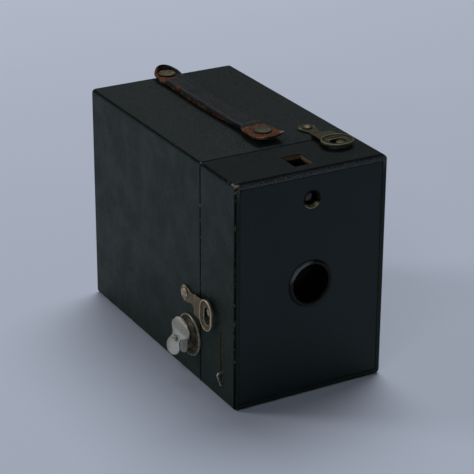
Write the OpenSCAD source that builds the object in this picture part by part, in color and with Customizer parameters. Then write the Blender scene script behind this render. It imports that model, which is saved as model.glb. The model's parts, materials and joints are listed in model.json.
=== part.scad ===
// Box camera for roll film, 6 x 9 cm picture. Millimetres.
// +Z is up. The front face looks along -Y and left is -X.
// The origin is the centre of the bottom face.
// At rest the front section is closed, both latches lie over their studs, and the
// winding key is drawn out far enough to clear the take-up spool.
//
// Name endings: _w width, _h height, _d depth, _l length, _t thickness, _r radius,
// _x distance from the middle plane, _z height above the bottom,
// _f distance behind the front face, _at a place [x, z].
// Cutters run past the surfaces they open, by 1 mm or more in most places.

/* [Body] */
// Width of the box, side to side
box_w = 79; // [78:0.5:82]
// Height of the box
box_h = 111; // [110:0.5:114]
// Depth of the box, front to back
box_d = 146; // [144:0.5:150]
// Depth of the front section, from the front face to the seam
front_d = 32; // [31:0.5:34]
// Thickness of the rear case boards
case_t = 3; // [2.6:0.1:3]
// Thickness of the front frame boards
frame_t = 3.5; // [3:0.1:3.5]
// Thickness of the leatherette covering
skin_t = 0.4; // [0.3:0.1:0.5]
// Radius of the long edges of the box
edge_r = 2.2; // [1.5:0.1:3]
// Radius of the edges round the back
back_r = 2.2; // [1.5:0.1:3]
// Radius of the edges round the front face
face_r = 1.2; // [0.8:0.1:1.6]

/* [Front] */
// Height of the lens axis above the bottom
lens_z = 55.9; // [54:0.1:58]
// Radius of the lens opening in the front panel
opening_r = 9.3; // [8.5:0.1:9.6]
// Height of the finder axis above the bottom
finder_z = 97; // [96:0.1:98]
// Width of the covering turned over on to the front face
border_w = 2.6; // [2.4:0.1:4]
// Width of the finder opening in the top
window_w = 10; // [9:0.5:11]
// Length of the finder opening in the top, front to back
window_l = 12.2; // [11:0.2:12.6]
// Distance of the finder opening from the front face
window_f = 7.3; // [7:0.1:8]

/* [Latches] */
// Distance from a latch's rivet to the centre of its ring
latch_len = 24.6; // [23:0.2:25]
// Width of a latch's ring
ring_w = 15.6; // [14:0.2:17]
// Length of a latch's ring
ring_l = 13.6; // [13:0.2:14]
// Thickness of the latch plate
latch_t = 0.7; // [0.6:0.1:0.8]
// Height of the ring's underside above the covering
ring_lift = 1.8; // [1.8:0.1:2.2]

/* [Winding key] */
// Distance of the key axis behind the front face
key_f = 42; // [41.5:0.1:42.5]
// Height of the key axis above the bottom
key_z = 21.2; // [20.6:0.1:21.6]
// Length of the key's outer plate
key_l = 18; // [17:0.2:20]
// Travel of the key from drawn out to engaged
key_travel = 3; // [2.8:0.1:3]
// Turn of the key handle on its shaft, in degrees
key_turn = 18; // [-45:1:45]

/* [Strap] */
// Width of the strap between its ends
strap_w = 11.4; // [10:0.2:13]
// Width of the strap's ends
strap_end_w = 14; // [13:0.2:15]
// Thickness of the strap leather
strap_t = 1.6; // [1.4:0.1:1.8]
// Extra thickness of the padded middle of the strap
strap_pad = 2.1; // [1.5:0.1:2.2]
// Distance of the front stud behind the front face
stud_front_f = 44.6; // [43:0.2:46]
// Distance between the two studs
stud_span = 95.5; // [94:0.5:96]

/* [Film] */
// Picture width, side to side
pic_w = 57; // [55:0.5:57.5]
// Picture height
pic_h = 83; // [80:0.5:83]
// Radius of the spool flanges
flange_r = 12.4; // [11.8:0.1:12.4]
// Radius of the spool cores
core_r = 5.5; // [5:0.1:6]

/* [Hidden] */
$fn = 96;

half_w = box_w / 2;
half_d = box_d / 2;
wall_t = case_t + skin_t;
seam_gap = 0.12;                      // on each side of the seam
case_x = half_w - skin_t;             // outer face of the boards
cavity_x = case_x - case_t;           // inner face of the rear case
frame_x = case_x - frame_t;           // inner faces of the front frame
frame_z0 = skin_t + frame_t;
frame_z1 = box_h - skin_t - frame_t;
run = 0.05;                           // radial running clearance
leatherette = [0.17, 0.19, 0.19];

lens_at = [0, lens_z];
finder_at = [0, finder_z];

// height mirrored about the lens axis
function opposite(z) = 2 * lens_z - z;

// ---------- helpers ----------

// waste at a corner of radius r that points to -X -Y
module corner_waste(r) difference() {
    translate([-1, -1]) square(r + 1);
    translate([r, r]) circle(r);
}

// rectangle with corner radii [at its low-y side, at its high-y side]
module round_rect(x0, x1, y0, y1, radii) difference() {
    translate([x0, y0]) square([x1 - x0, y1 - y0]);
    for (end = [0, 1]) if (radii[end] > 0) for (side = [0, 1])
        translate([side ? x1 : x0, end ? y1 : y0]) mirror([side, 0]) mirror([0, end])
            corner_waste(radii[end]);
}

// box with radius r on its edges along Y and radii [front, back] on its end edges
module soft_box(x1, z0, z1, f0, f1, r, end_radii) translate([0, -half_d, 0]) intersection() {
    translate([0, f1, 0]) rotate([90, 0, 0]) linear_extrude(f1 - f0)
        round_rect(-x1, x1, z0, z1, [r, r]);
    translate([0, 0, z0 - 1]) linear_extrude(z1 - z0 + 2)
        round_rect(-x1, x1, f0, f1, end_radii);
    translate([-x1 - 1, 0, 0]) rotate([90, 0, 90]) linear_extrude(2 * x1 + 2)
        rotate(90) mirror([0, 1]) round_rect(z0, z1, f0, f1, end_radii);
}

module block(x0, x1, f0, f1, z0, z1)
    translate([x0, f0 - half_d, z0]) cube([x1 - x0, f1 - f0, z1 - z0]);

module along_x(x0, x1, r, f, z)
    translate([x0, f - half_d, z]) rotate([0, 90, 0]) cylinder(h = x1 - x0, r = r);

// the same cylinder at both sides
module both_sides(x0, x1, r, f, z) {
    along_x(-x1, -x0, r, f, z);
    along_x(x0, x1, r, f, z);
}

module along_y(f0, f1, r, at)
    translate([at[0], f0 - half_d, at[1]]) rotate([-90, 0, 0]) cylinder(h = f1 - f0, r = r);

// places a part drawn with +Z pointing to the back
module from_front(at, f = 0)
    translate([at[0], f - half_d, at[1]]) rotate([-90, 0, 0]) children();

// turned part about an axis along Y, profile points are [radius, f]
module turned(profile, at = lens_at) from_front(at) rotate_extrude() polygon(profile);

// flat part facing the front, outline drawn as [x, z] from at
module flat_part(f0, thick, at)
    translate([at[0], f0 + thick - half_d, at[1]]) rotate([90, 0, 0])
        linear_extrude(thick) children();

// part with a side view drawn as [f, z], from x0 towards +X
module side_profile(x0, thick)
    translate([x0, -half_d, 0]) rotate([90, 0, 90]) linear_extrude(thick) children();

// flat bar with round ends between two points
module bar(start, end, r) {
    span = end - start;
    len = norm(span);
    translate(start) rotate(atan2(span[1], span[0])) {
        circle(r);
        translate([len, 0]) circle(r);
        translate([0, -r]) square([len, 2 * r]);
    }
}

// outline with round ends centred half to each side of the origin, along X
module oblong(half, r) {
    for (side = [-1, 1]) translate([side * half, 0]) circle(r);
    translate([-half, -r]) square([2 * half, 2 * r]);
}

// places a part drawn on the XY plane, with its -Y pointing to the front, on the top face
module on_top(x, f, lift = 0) translate([x, f - half_d, box_h + lift]) children();
// the same on the left face: the drawing's +X turns to +Z and its +Z to -X
module on_left(f, z) translate([-half_w, f - half_d, z]) rotate([0, -90, 0]) children();

// ---------- rear case ----------

cup_hole_r = 9.0;
red_hole_r = 5.6;
red_pane_r = 7.5;
red_pane_t = 0.5;
rivet_r = 1.5;                        // latch rivets
stud_r = 1.6;                         // posts of the strap studs
stud_f = [stud_front_f, stud_front_f + stud_span];
latch_x = 24.2;                       // top latch rivet
latch_f = 45.2;
side_latch_f = 45.7;                  // side latch rivet
side_latch_z = 41.2;

module case_holes(grow = 0) {
    depth = case_t + 2;
    along_x(-half_w - 1, -cavity_x + 1, cup_hole_r + grow, key_f, key_z);
    along_y(box_d - depth, box_d + 1, red_hole_r + grow, lens_at);
    on_top(latch_x, latch_f, -depth) cylinder(h = depth + 1, r = rivet_r + grow);
    on_left(side_latch_f, side_latch_z)
        translate([0, 0, -depth]) cylinder(h = depth + 1, r = rivet_r + grow);
    for (f = stud_f) on_top(0, f, -depth) cylinder(h = depth + 1, r = stud_r + grow);
}

// outside of the rear boards, from f0 back
module rear_boards(f0)
    soft_box(case_x, skin_t, box_h - skin_t, f0, box_d - skin_t,
        edge_r - skin_t, [0, back_r - skin_t]);

module rear_case() color([0.42, 0.33, 0.24]) difference() {
    rear_boards(front_d + seam_gap);
    block(-cavity_x, cavity_x, front_d - 1, box_d - wall_t, wall_t, box_h - wall_t);
    case_holes();
}

module rear_covering() color(leatherette) difference() {
    soft_box(half_w, 0, box_h, front_d + seam_gap, box_d, edge_r, [0, back_r]);
    rear_boards(front_d - 1);
    case_holes(0.02);
}

// profile: [radius, distance in from the back face]
module red_window_ring() color([0.10, 0.10, 0.10])
    translate([0, half_d, lens_z]) rotate([90, 0, 0]) rotate_extrude()
        polygon([[4.8, -0.35], [6.9, -0.3], [6.9, -0.02], [5.6, -0.02], [5.6, 2.2], [4.8, 2.2]]);

module red_window() color([0.55, 0.03, 0.03, 0.8])
    along_y(box_d - wall_t - red_pane_t, box_d - wall_t, red_pane_r, lens_at);

// ---------- strap ----------

strap_steps = 48;
strap_front_l = 8.6;                  // strap ahead of the front stud
strap_ends_l = 14.2;                  // strap beyond both studs together
strap_gap = 0.25;                     // least height above the top
strap_rise = [2.0, 0.85];             // extra height at the front and back studs
strap_fade = 10;                      // length over which the rise dies away
strap_flat = 4.6;                     // beyond this from a stud, the ends slope up
strap_slope = [0.28, 0.15];           // of the front and back ends
pad_from = [8, 9.5];                  // padding starts this far inside each stud
pad_ramp = 5;                         // length over which it reaches full thickness
end_centre = 1.6;                     // round end's centre, outward from its stud
taper = [5, 19];                      // strap narrows between these, inward from a stud
strap_hole_r = 2.0;

// share of the padding at f, from 0 to 1
function padding(f) = let (
    inside = min(f - stud_front_f - pad_from[0], stud_f[1] - pad_from[1] - f),
    share = max(0, min(1, inside / pad_ramp)))
    share * share * (3 - 2 * share);

// height of the strap's underside above the top at f
function strap_under(f) = let (front = f - stud_f[0], back = f - stud_f[1])
    strap_gap
    + strap_rise[0] * exp(-pow(max(0, front) / strap_fade, 2))
    + strap_slope[0] * max(0, -front - strap_flat)
    + strap_rise[1] * exp(-pow(min(0, back) / strap_fade, 2))
    + strap_slope[1] * max(0, back - strap_flat);

// underside seen from the side: [f, height above the top]
strap_path = [for (i = [0 : strap_steps])
    let (f = stud_front_f - strap_front_l + i / strap_steps * (stud_span + strap_ends_l))
    [f, strap_under(f)]];

// strap seen from above, y is f
module strap_plan() {
    half = strap_end_w / 2;
    middle = taper[1] - 2;
    for (end = [0, 1]) translate([0, stud_f[end]]) mirror([0, end]) {
        translate([0, -end_centre]) circle(half);
        translate([-half + 1.2, -strap_front_l]) square([strap_end_w - 2.4, 10]);
        polygon([[-half, -end_centre], [half, -end_centre], [half, taper[0]],
            [strap_w / 2, taper[1]], [-strap_w / 2, taper[1]], [-half, taper[0]]]);
    }
    translate([-strap_w / 2, stud_front_f + middle]) square([strap_w, stud_span - 2 * middle]);
}

module strap() color([0.16, 0.14, 0.14]) difference() {
    intersection() {
        translate([0, 0, box_h]) side_profile(-10, 20)
            polygon(concat(strap_path, [for (i = [strap_steps : -1 : 0])
                strap_path[i] + [0, strap_t + strap_pad * padding(strap_path[i][0])]]));
        translate([0, -half_d, box_h - 1]) linear_extrude(12) strap_plan();
    }
    for (f = stud_f) on_top(0, f) cylinder(h = 12, r = strap_hole_r);
}

// post and domed head, whose underside is at height h; profile: [radius, height]
module strap_stud(h) rotate_extrude()
    polygon([[0, -wall_t], [stud_r, -wall_t], [stud_r, 0], [stud_r, h], [4.3, h + 0.05],
        [4.45, h + 0.35], [4.0, h + 0.75], [2.4, h + 1.0], [0, h + 1.1]]);

stud_head_h = [4.05, 2.85];           // front and back

module strap_studs() color([0.45, 0.44, 0.30])
    for (i = [0, 1]) on_top(0, stud_f[i]) strap_stud(stud_head_h[i]);

// ---------- winding key, drawn about the shaft axis, +Z out of the case ----------

shaft_r = 2.2;
neck_r = 1.4;
collar_t = 1;
collar_top = -wall_t - 0.05;          // just inside the wall
handle_z = key_travel + 0.25;         // underside of the handle's inner plate
handle_t = 0.8;
handle_gap = 2.3;                     // between the two plates at the bend
bend_w = 5.0;
key_rivet_r = 1.22;
pin_r = 2.2;                          // spool pins
side_t = 3;                           // film carrier side boards
side_x = frame_x - side_t;            // their inner faces
spool_x = side_x - 0.6;               // outer faces of the spool flanges

module on_key() on_left(key_f, key_z) children();

// cup pressed into the side wall, with a plain bearing tube; profile: [radius, height]
module key_cup() color([0.60, 0.60, 0.55]) on_key() {
    bore_r = shaft_r + run + 0.01;
    rotate_extrude() polygon([[bore_r, -wall_t], [2.9, -wall_t], [2.9, -1.9], [8.95, -1.9],
        [8.95, 0.02], [10.4, 0.02], [10.45, 0.5], [10.15, 1.0], [9.85, 1.15], [9.55, 1.0],
        [9.45, 0.6], [8.4, -0.7], [7.6, -1.2], [bore_r, -1.3]]);
}

// felt light-trap washer, a close fit on the shaft
module key_washer() color([0.12, 0.12, 0.12]) on_key() translate([0, 0, key_travel - 1.15])
    difference() {
        cylinder(h = 0.8, r = 4.6);
        translate([0, 0, -1]) cylinder(h = 3, r = shaft_r + run);
    }

// shaft: flat tongue, stop collar inside the wall, plain bearing, peened neck
module key_shaft() color([0.58, 0.57, 0.52]) on_key() {
    tip = spool_x - half_w + 0.5;
    collar = collar_top - collar_t;
    neck = key_travel - 0.2;
    tongue_t = 1.3;
    translate([0, 0, collar]) cylinder(h = collar_t, r = 3.7);
    translate([0, 0, collar]) cylinder(h = handle_z - collar, r = shaft_r);
    translate([0, 0, neck]) cylinder(h = 4.4 - neck, r = neck_r);
    intersection() {
        translate([0, 0, tip]) cylinder(h = collar_top - 0.5 - tip, r = 3.1);
        translate([-tongue_t / 2, -4, tip - 1]) cube([tongue_t, 8, 10]);
    }
}

// two-lobed plate outline, long axis along X, waist is half its width at the middle
module lobes(half_l, r, waist) {
    centre = half_l - r;
    edge = r * 0.9;
    for (side = [-1, 1]) translate([side * centre, 0]) circle(r);
    polygon([[-centre, -edge], [0, -waist], [centre, -edge],
        [centre, edge], [0, waist], [-centre, edge]]);
}

// thumb piece folded from one strip: inner plate, bend at the +X end, splayed outer plate
module key_handle() color([0.66, 0.65, 0.58]) on_key() rotate(-key_turn) {
    bend_in_r = handle_gap / 2;
    bend_out_r = bend_in_r + handle_t;
    difference() {
        union() {
            translate([0, 0, handle_z]) linear_extrude(handle_t) lobes(8.9, 4.3, 3.2);
            translate([0, 0, 7.2]) rotate([13, 8, 0]) linear_extrude(handle_t)
                lobes(key_l / 2, 4.7, 3.9);
            translate([7.5, -bend_w / 2, handle_z + bend_out_r]) rotate([-90, 0, 0])
                linear_extrude(bend_w) difference() {
                    circle(bend_out_r);
                    circle(bend_in_r);
                    translate([-4, -4]) square([4, 8]);
                }
            // strips joining the bend to the plates
            for (z = [0, handle_t + handle_gap])
                translate([5.9, -bend_w / 2, handle_z + z]) cube([1.8, bend_w, handle_t]);
        }
        translate([0, 0, handle_z - 1]) cylinder(h = 3, r = neck_r + 0.02);
        translate([0, 0, 6]) cylinder(h = 4, r = key_rivet_r + 0.03);
    }
}

// plain shank and domed head; profile: [radius, height]
module key_rivet() color([0.45, 0.38, 0.28]) on_key() {
    translate([0, 0, 4.42]) cylinder(h = 4.33, r = key_rivet_r);
    translate([0, 0, 8.6]) rotate_extrude()
        polygon([[0, 0], [1.75, 0.05], [1.6, 0.45], [0.9, 0.7], [0, 0.75]]);
}

// ---------- latches, drawn about the rivet, front towards -Y ----------

latch_gap = 0.2;                      // under the flat part of the plate
rim_w = 1.1;
rim_h = 0.5;
top_turn = 2.5;                       // of each latch about its rivet, in degrees
side_turn = -2.2;
eye_shift = 0.6;                      // of the eye from the ring's centre line
latch_stud_r = 1.1;

module at_top_latch() on_top(latch_x, latch_f) children();
module at_side_latch() on_left(side_latch_f, side_latch_z) children();

// rivet with a flat tail inside the case and a domed head outside; profile: [radius, height]
module latch_rivet() {
    head = latch_gap + latch_t + 0.12;
    rotate_extrude() polygon([[0, -wall_t - 0.4], [2.6, -wall_t - 0.4], [2.6, -wall_t],
        [rivet_r, -wall_t], [rivet_r, head], [2.7, head], [2.6, latch_t + 0.75],
        [1.9, latch_t + 1.05], [0, latch_t + 1.25]]);
}

module latch_rivets() color([0.62, 0.56, 0.42]) {
    at_top_latch() latch_rivet();
    at_side_latch() latch_rivet();
}

module ring_outline(grow)
    translate([0, -latch_len]) oblong((ring_w - ring_l) / 2, ring_l / 2 + grow);

// plate: flat at the rivet, stepped up towards the ring, ring with a raised rim and a long eye
module latch(eye_x) difference() {
    top = ring_lift + latch_t;
    union() {
        translate([0, 0, latch_gap]) linear_extrude(latch_t) {
            circle(4.6);
            polygon([[-4.3, -1.6], [4.3, -1.6], [3.7, -8.2], [-3.7, -8.2]]);
        }
        // step, side view [y, z]
        rotate([90, 0, 90]) translate([0, 0, -4.9]) linear_extrude(9.8)
            polygon([[-7.9, latch_gap], [-7.9, latch_gap + latch_t], [-13.6, top],
                [-14.0, top], [-14.0, ring_lift], [-13.5, ring_lift]]);
        translate([0, 0, ring_lift]) linear_extrude(latch_t) {
            ring_outline(0);
            polygon([[-4.9, -13.5], [4.9, -13.5], [6.6, -20], [-6.6, -20]]);
        }
        translate([0, 0, ring_lift]) linear_extrude(latch_t + rim_h) difference() {
            ring_outline(0);
            ring_outline(-rim_w);
        }
    }
    // trim the stepped part to its plan outline
    for (side = [0, 1]) mirror([side, 0, 0]) translate([0, 0, -1]) linear_extrude(6)
        polygon([[3.7, -7.9], [4.95, -11.8], [5.2, -13.4], [9, -13.4], [9, -7.9]]);
    translate([0, 0, -1]) cylinder(h = 4, r = rivet_r + run);
    translate([0, 0, ring_lift - 1]) linear_extrude(4)
        translate([eye_x, -latch_len]) oblong(1.7, 2.7);
}

module top_latch() color([0.36, 0.35, 0.24]) at_top_latch() rotate(top_turn) latch(eye_shift);
module side_latch() color([0.55, 0.48, 0.36])
    at_side_latch() rotate(side_turn) latch(-eye_shift);

module at_latch_studs() {
    at_top_latch() rotate(top_turn) translate([2.0, 0.4 - latch_len, 0]) children();
    at_side_latch() rotate(side_turn) translate([1.4, 0.2 - latch_len, 0]) children();
}

// low studs under the rings' eyes; profile: [radius, height]
module latch_studs() color([0.72, 0.68, 0.55]) at_latch_studs() rotate_extrude()
    polygon([[0, -skin_t - 2], [latch_stud_r, -skin_t - 2], [latch_stud_r, 0], [2.2, 0.02],
        [2.2, 0.4], [1.5, 0.5], [1.5, 0.9], [2.0, 1.1], [1.8, 1.5], [0, 1.7]]);

// ---------- front section ----------

panel_f = 0.2;                        // front panel sits this far behind the face
panel_t = 1.0;
frame_f = skin_t + 3.6;               // back of the frame's front board
finder_hole_r = 4.4;
lever_f = 11.4;
lever_t = 1.0;
slot_z = [6.6, 35];                   // ends of the lever slot

module stud_holes(grow = 0) at_latch_studs()
    translate([0, 0, -skin_t - 2]) cylinder(h = 4, r = latch_stud_r + grow);

module finder_opening(grow = 0)
    block(-window_w / 2 - grow, window_w / 2 + grow,
        window_f - grow, window_f + window_l + grow, frame_z1 - 2, box_h + 1);

// slot for the shutter lever in the left side
module lever_slot(grow = 0) {
    gap = 0.5 + grow;
    block(-half_w - 1, -frame_x + 1, lever_f - gap, lever_f + lever_t + gap,
        slot_z[0] - grow, slot_z[1] + grow);
}

// area of the front face inside the turned-over covering
module inside_border(f0, f1, grow = 0) {
    x1 = half_w - border_w + grow;
    block(-x1, x1, f0, f1, border_w - grow, box_h - border_w + grow);
}

// outside of the front boards, back to f1
module front_boards(f1)
    soft_box(case_x, skin_t, box_h - skin_t, skin_t, f1, edge_r - skin_t, [face_r - skin_t, 0]);

module front_case() color([0.62, 0.40, 0.22]) difference() {
    front_boards(front_d - seam_gap);
    block(-frame_x, frame_x, frame_f, front_d + 1, frame_z0, frame_z1);
    // seat of the front panel
    inside_border(-1, panel_f + panel_t, 0.05);
    along_y(-1, 6, opening_r + 0.6, lens_at);
    along_y(-1, 6, finder_hole_r, finder_at);
    finder_opening();
    lever_slot();
    stud_holes();
}

module front_covering() color(leatherette) difference() {
    soft_box(half_w, 0, box_h, 0, front_d - seam_gap, edge_r, [face_r, 0]);
    front_boards(front_d + 1);
    inside_border(-1, 2);
    finder_opening(0.15);
    lever_slot(0.05);
    stud_holes(0.02);
}

module front_panel() color([0.09, 0.11, 0.12]) difference() {
    inside_border(panel_f, panel_f + panel_t);
    along_y(-1, 3, opening_r + 0.55, lens_at);
    along_y(-1, 3, finder_hole_r, finder_at);
}

// black eyelet in the lens opening: rolled lip and short tube
module lens_bezel() color([0.05, 0.05, 0.05])
    turned([[opening_r - 0.15, 0.1], [opening_r + 0.3, 0.0], [opening_r + 1.2, 0.02],
        [opening_r + 1.4, panel_f], [opening_r + 0.5, panel_f], [opening_r + 0.5, 5.4],
        [opening_r - 0.1, 5.4], [opening_r - 0.3, 0.5]]);

// ---------- finder ----------

finder_x = 6.2;                       // inside of the housing
finder_back_f = 20.2;
finder_floor_z = 90;
finder_wall_t = 0.4;
glass_f = 5.6;                        // front of the recess for the glass
glass_recess = 0.8;
glass_gap = 0.1;
finder_lens_r = 3.55;
finder_ball_r = 9.2;                  // the finder lens's domed front
mirror_size = [11.2, 16.8, 0.8];

module finder_housing() color([0.10, 0.10, 0.10]) difference() {
    outer_x = finder_x + finder_wall_t;
    block(-outer_x, outer_x, frame_f, finder_back_f + finder_wall_t,
        finder_floor_z - finder_wall_t, frame_z1);
    block(-finder_x, finder_x, frame_f + finder_wall_t, finder_back_f,
        finder_floor_z, frame_z1 - 1.2);
    finder_opening();
    block(-finder_x, finder_x, glass_f, finder_back_f, frame_z1 - glass_recess, frame_z1 + 1);
    along_y(frame_f - 1, frame_f + 2, finder_hole_r, finder_at);
}

module finder_lens_mount() color([0.70, 0.52, 0.25])
    turned([[3.6, panel_f - 0.1], [4.38, panel_f - 0.1], [4.38, 5.2],
        [3.2, 5.2], [3.2, 4.6], [3.6, 4.6]], finder_at);

module finder_lens() color([0.75, 0.85, 0.88, 0.5]) intersection() {
    along_y(2, 4.55, finder_lens_r, finder_at);
    translate([0, 12 - half_d, finder_z]) sphere(finder_ball_r);
}

module finder_mirror() color([0.80, 0.82, 0.85])
    translate([0, 13.4 - half_d, finder_z - 0.2]) rotate([45, 0, 0])
        translate(-mirror_size / 2) cube(mirror_size);

module finder_glass() color([0.30, 0.33, 0.34, 0.6])
    block(-finder_x + glass_gap, finder_x - glass_gap, glass_f + glass_gap,
        finder_back_f - glass_gap, frame_z1 - glass_recess + 0.02, frame_z1 - 0.03);

// ---------- shutter ----------

disc_f = 13.0;
disc_t = 0.6;
disc_r = 20.6;
plate_f = 14.5;
plate_t = 0.8;
lboard_f = plate_f + plate_t;         // lens board
lboard_t = 4;
lboard_back_f = lboard_f + lboard_t;
lever_at = [-half_w + 25.8, 22.3];    // lever pivot
disc_at = [0, lens_z - 14];           // disc pivot
pivots = [lever_at, disc_at];
pivot_r = 1.5;
screws = [[-27, 14], [27, 14], [-27, 80], [27, 80]];

// angles at rest, in degrees
lever_rest = -21;                     // arm, above -X
disc_rest = 50;                       // disc's opening, turned clockwise from the top
post_rest = -140;                     // disc's spring post, from +X

// direction from the lever's pivot, angle measured from -X
function lever_dir(angle) = [-cos(angle), sin(angle)];
arm_end = 23.4 * lever_dir(lever_rest);
tip_end = 26.6 * lever_dir(lever_rest - 2);
tail_end = 8 * lever_dir(lever_rest - 80);

tail_at = lever_at + tail_end;
post_at = disc_at + 17.5 * [cos(post_rest), sin(post_rest)];
coil_at = (tail_at + post_at) / 2 + [11, -3];
spring_f = 10.6;
wire_r = 0.3;
coil_r = 2.4;
spring_eye_r = 1.25;

module lens_board() color([0.55, 0.38, 0.22]) difference() {
    block(-frame_x, frame_x, lboard_f, lboard_back_f, frame_z0 + 0.1, 87);
    along_y(lboard_f - 1, lboard_back_f + 1, 8.4, lens_at);
    for (at = screws) along_y(lboard_f - 1, lboard_f + 3.5, 0.9, at);
    // recesses for the pivot rivets' tails
    for (at = pivots) along_y(lboard_f - 1, lboard_f + 0.6, 3.2, at);
}

module shutter_plate() color([0.12, 0.12, 0.13]) difference() {
    block(-30, 30, plate_f, lboard_f, 10, 84);
    along_y(plate_f - 1, plate_f + 2, 6.2, lens_at);
    for (at = pivots) along_y(plate_f - 1, plate_f + 2, pivot_r, at);
    for (at = screws) along_y(plate_f - 1, plate_f + 2, 1.1, at);
}

// profile: [radius, distance behind the plate's front]
module shutter_screws() color([0.62, 0.56, 0.38]) for (at = screws) from_front(at, plate_f)
    difference() {
        rotate_extrude() polygon([[0, -1.1], [1.0, -1.0], [1.7, -0.6], [1.9, 0],
            [0.88, 0], [0.88, 4], [0, 4.2]]);
        translate([-2.5, -0.25, -2]) cube([5, 0.5, 1.3]);
    }

// head in front, neck for the moving part, shoulder on the plate and tail behind it
module pivot_rivet(at, head_f, neck_f, shoulder_f) turned([[0, head_f], [2.4, head_f + 0.2],
    [2.6, neck_f], [pivot_r, neck_f], [pivot_r, shoulder_f], [2.3, shoulder_f],
    [2.3, plate_f], [pivot_r, plate_f], [pivot_r, lboard_f], [2.6, lboard_f],
    [2.6, lboard_f + 0.5], [0, lboard_f + 0.5]], at);

module shutter_rivets() color([0.60, 0.58, 0.50]) {
    pivot_rivet(lever_at, head_f = 10.5, neck_f = 11.3, shoulder_f = 12.5);
    pivot_rivet(disc_at, head_f = 12.1, neck_f = 12.85, shoulder_f = 13.7);
}

// release lever: hub, arm to the slot, hooked tip, short tail for the spring
module shutter_lever() color([0.66, 0.66, 0.62]) flat_part(lever_f, lever_t, lever_at)
    difference() {
        union() {
            circle(3.6);
            bar([0, 0], arm_end, 2.0);
            bar(arm_end, tip_end, 1.5);
            polygon([[-24.9, -7.1], [-27.5, -7.4], [-28.2, -8.7], [-26.6, -13.3],
                [-26.2, -14.5], [-25.2, -14.5], [-24.6, -12.6]]);
            bar([0, 0], tail_end, 1.4);
        }
        circle(pivot_r + run);
        translate(tail_end) circle(0.5);
    }

// rotary disc with one round opening and a post for the spring
module shutter_disc() color([0.10, 0.10, 0.11]) {
    flat_part(disc_f, disc_t, disc_at) difference() {
        circle(disc_r);
        circle(pivot_r + run);
        rotate(90 - disc_rest) translate([14, 0]) circle(5.6);
    }
    along_y(9.8, disc_f + 0.1, 0.8, post_at);
}

module wire_ring(at, r) translate([at[0], spring_f - half_d, at[1]]) rotate([90, 0, 0])
    rotate_extrude() translate([r, 0]) circle(wire_r, $fn = 24);

// straight wire from at towards the coil's centre
module wire_leg(at, length) {
    span = coil_at - at;
    translate([at[0], spring_f - half_d, at[1]]) rotate([0, atan2(span[0], span[1]), 0])
        cylinder(h = length, r = wire_r, $fn = 24);
}

// hairpin spring: hook through the lever's tail, leg, coil, leg, eye round the disc's post
module shutter_spring() color([0.75, 0.75, 0.72]) {
    post_span = coil_at - post_at;
    post_l = norm(post_span);
    along_y(spring_f - wire_r, spring_f + 1.6, wire_r, tail_at);
    wire_ring(post_at, spring_eye_r);
    wire_ring(coil_at, coil_r);
    wire_leg(tail_at, norm(coil_at - tail_at) - coil_r);
    wire_leg(post_at + spring_eye_r * post_span / post_l, post_l - coil_r - spring_eye_r);
}

// ---------- lens ----------

lens_back_r = 30.9;                   // radii of the two surfaces
lens_front_r = 53;
lens_back_f = 22.5;                   // where they cross the axis
lens_front_f = 20;

module lens_cell() color([0.07, 0.07, 0.07])
    turned([[6.6, lboard_f], [8.35, lboard_f], [8.35, lboard_back_f], [11, lboard_back_f],
        [11, lboard_back_f + 0.8], [8.35, lboard_back_f + 0.8], [8.35, 24.6], [7.5, 24.6],
        [7.5, 19.4], [7.05, 19.4], [7.05, 16.1], [6.6, 16.1]]);

module stop_plate() color([0.08, 0.08, 0.08])
    turned([[4.2, 16.12], [7.03, 16.12], [7.03, 16.6], [4.2, 16.6]]);

// meniscus, hollow towards the front
module lens() color([0.75, 0.85, 0.85, 0.5]) difference() {
    intersection() {
        along_y(18, 23, 7.45, lens_at);
        translate([0, lens_back_f - lens_back_r - half_d, lens_z]) sphere(lens_back_r);
    }
    translate([0, lens_front_f - lens_front_r - half_d, lens_z]) sphere(lens_front_r);
}

module lens_retainer() color([0.55, 0.45, 0.25])
    turned([[6.4, 21.95], [7.45, 21.7], [7.45, 23.2], [6.4, 23.2]]);

// ---------- film carrier ----------

gate_f = box_d - 11;                  // front face of the film gate
gate_t = 1;
gate_x = side_x - 0.4;
gate_dz = pic_h / 2 + 1.4;            // half the gate's height
cheek_t = 1;
cheek_x = gate_x - cheek_t / 2;       // middle of the gate's cheeks
strip_t = 0.8;                        // strips outside the cheeks
strip_x = side_x - strip_t / 2;
strip_z = 44;
cone_t = 1;
cone_front = 12;                      // half the cone's width and height at its front
cone_back_x = pic_w / 2 + 1.2;        // half its width at its back
cone_back_z = pic_h / 2 + 1.2;        // half its height at its back
roller_f = gate_f - 2;
roller_dz = pic_h / 2 + 5.1;
roller_r = 3.2;
axle_r = 1.0;
supply_z = opposite(key_z);
board_gap = 0.6;                      // side boards to the frame's top and bottom
board_step_f = half_d - 13;           // back of the boards' tall part
board_neck_f = half_d - 6;            // front of their narrow part
board_step_z = 34.5;
board_neck_z = 40;
key_notch_r = 4.3;

// board from x0 towards +X, with holes for spool pins at the given heights
module side_board(x0, pin_heights) difference() {
    low = frame_z0 + board_gap;
    high = frame_z1 - board_gap;
    back = gate_f - 0.5;
    side_profile(x0, side_t) polygon([[lboard_back_f, low], [board_step_f, low],
        [board_step_f, board_step_z], [board_neck_f, board_neck_z], [back, board_neck_z],
        [back, opposite(board_neck_z)], [board_neck_f, opposite(board_neck_z)],
        [board_step_f, opposite(board_step_z)], [board_step_f, high], [lboard_back_f, high]]);
    for (z = pin_heights) along_x(x0 - 1, x0 + side_t + 1, pin_r, key_f, z);
}

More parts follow.
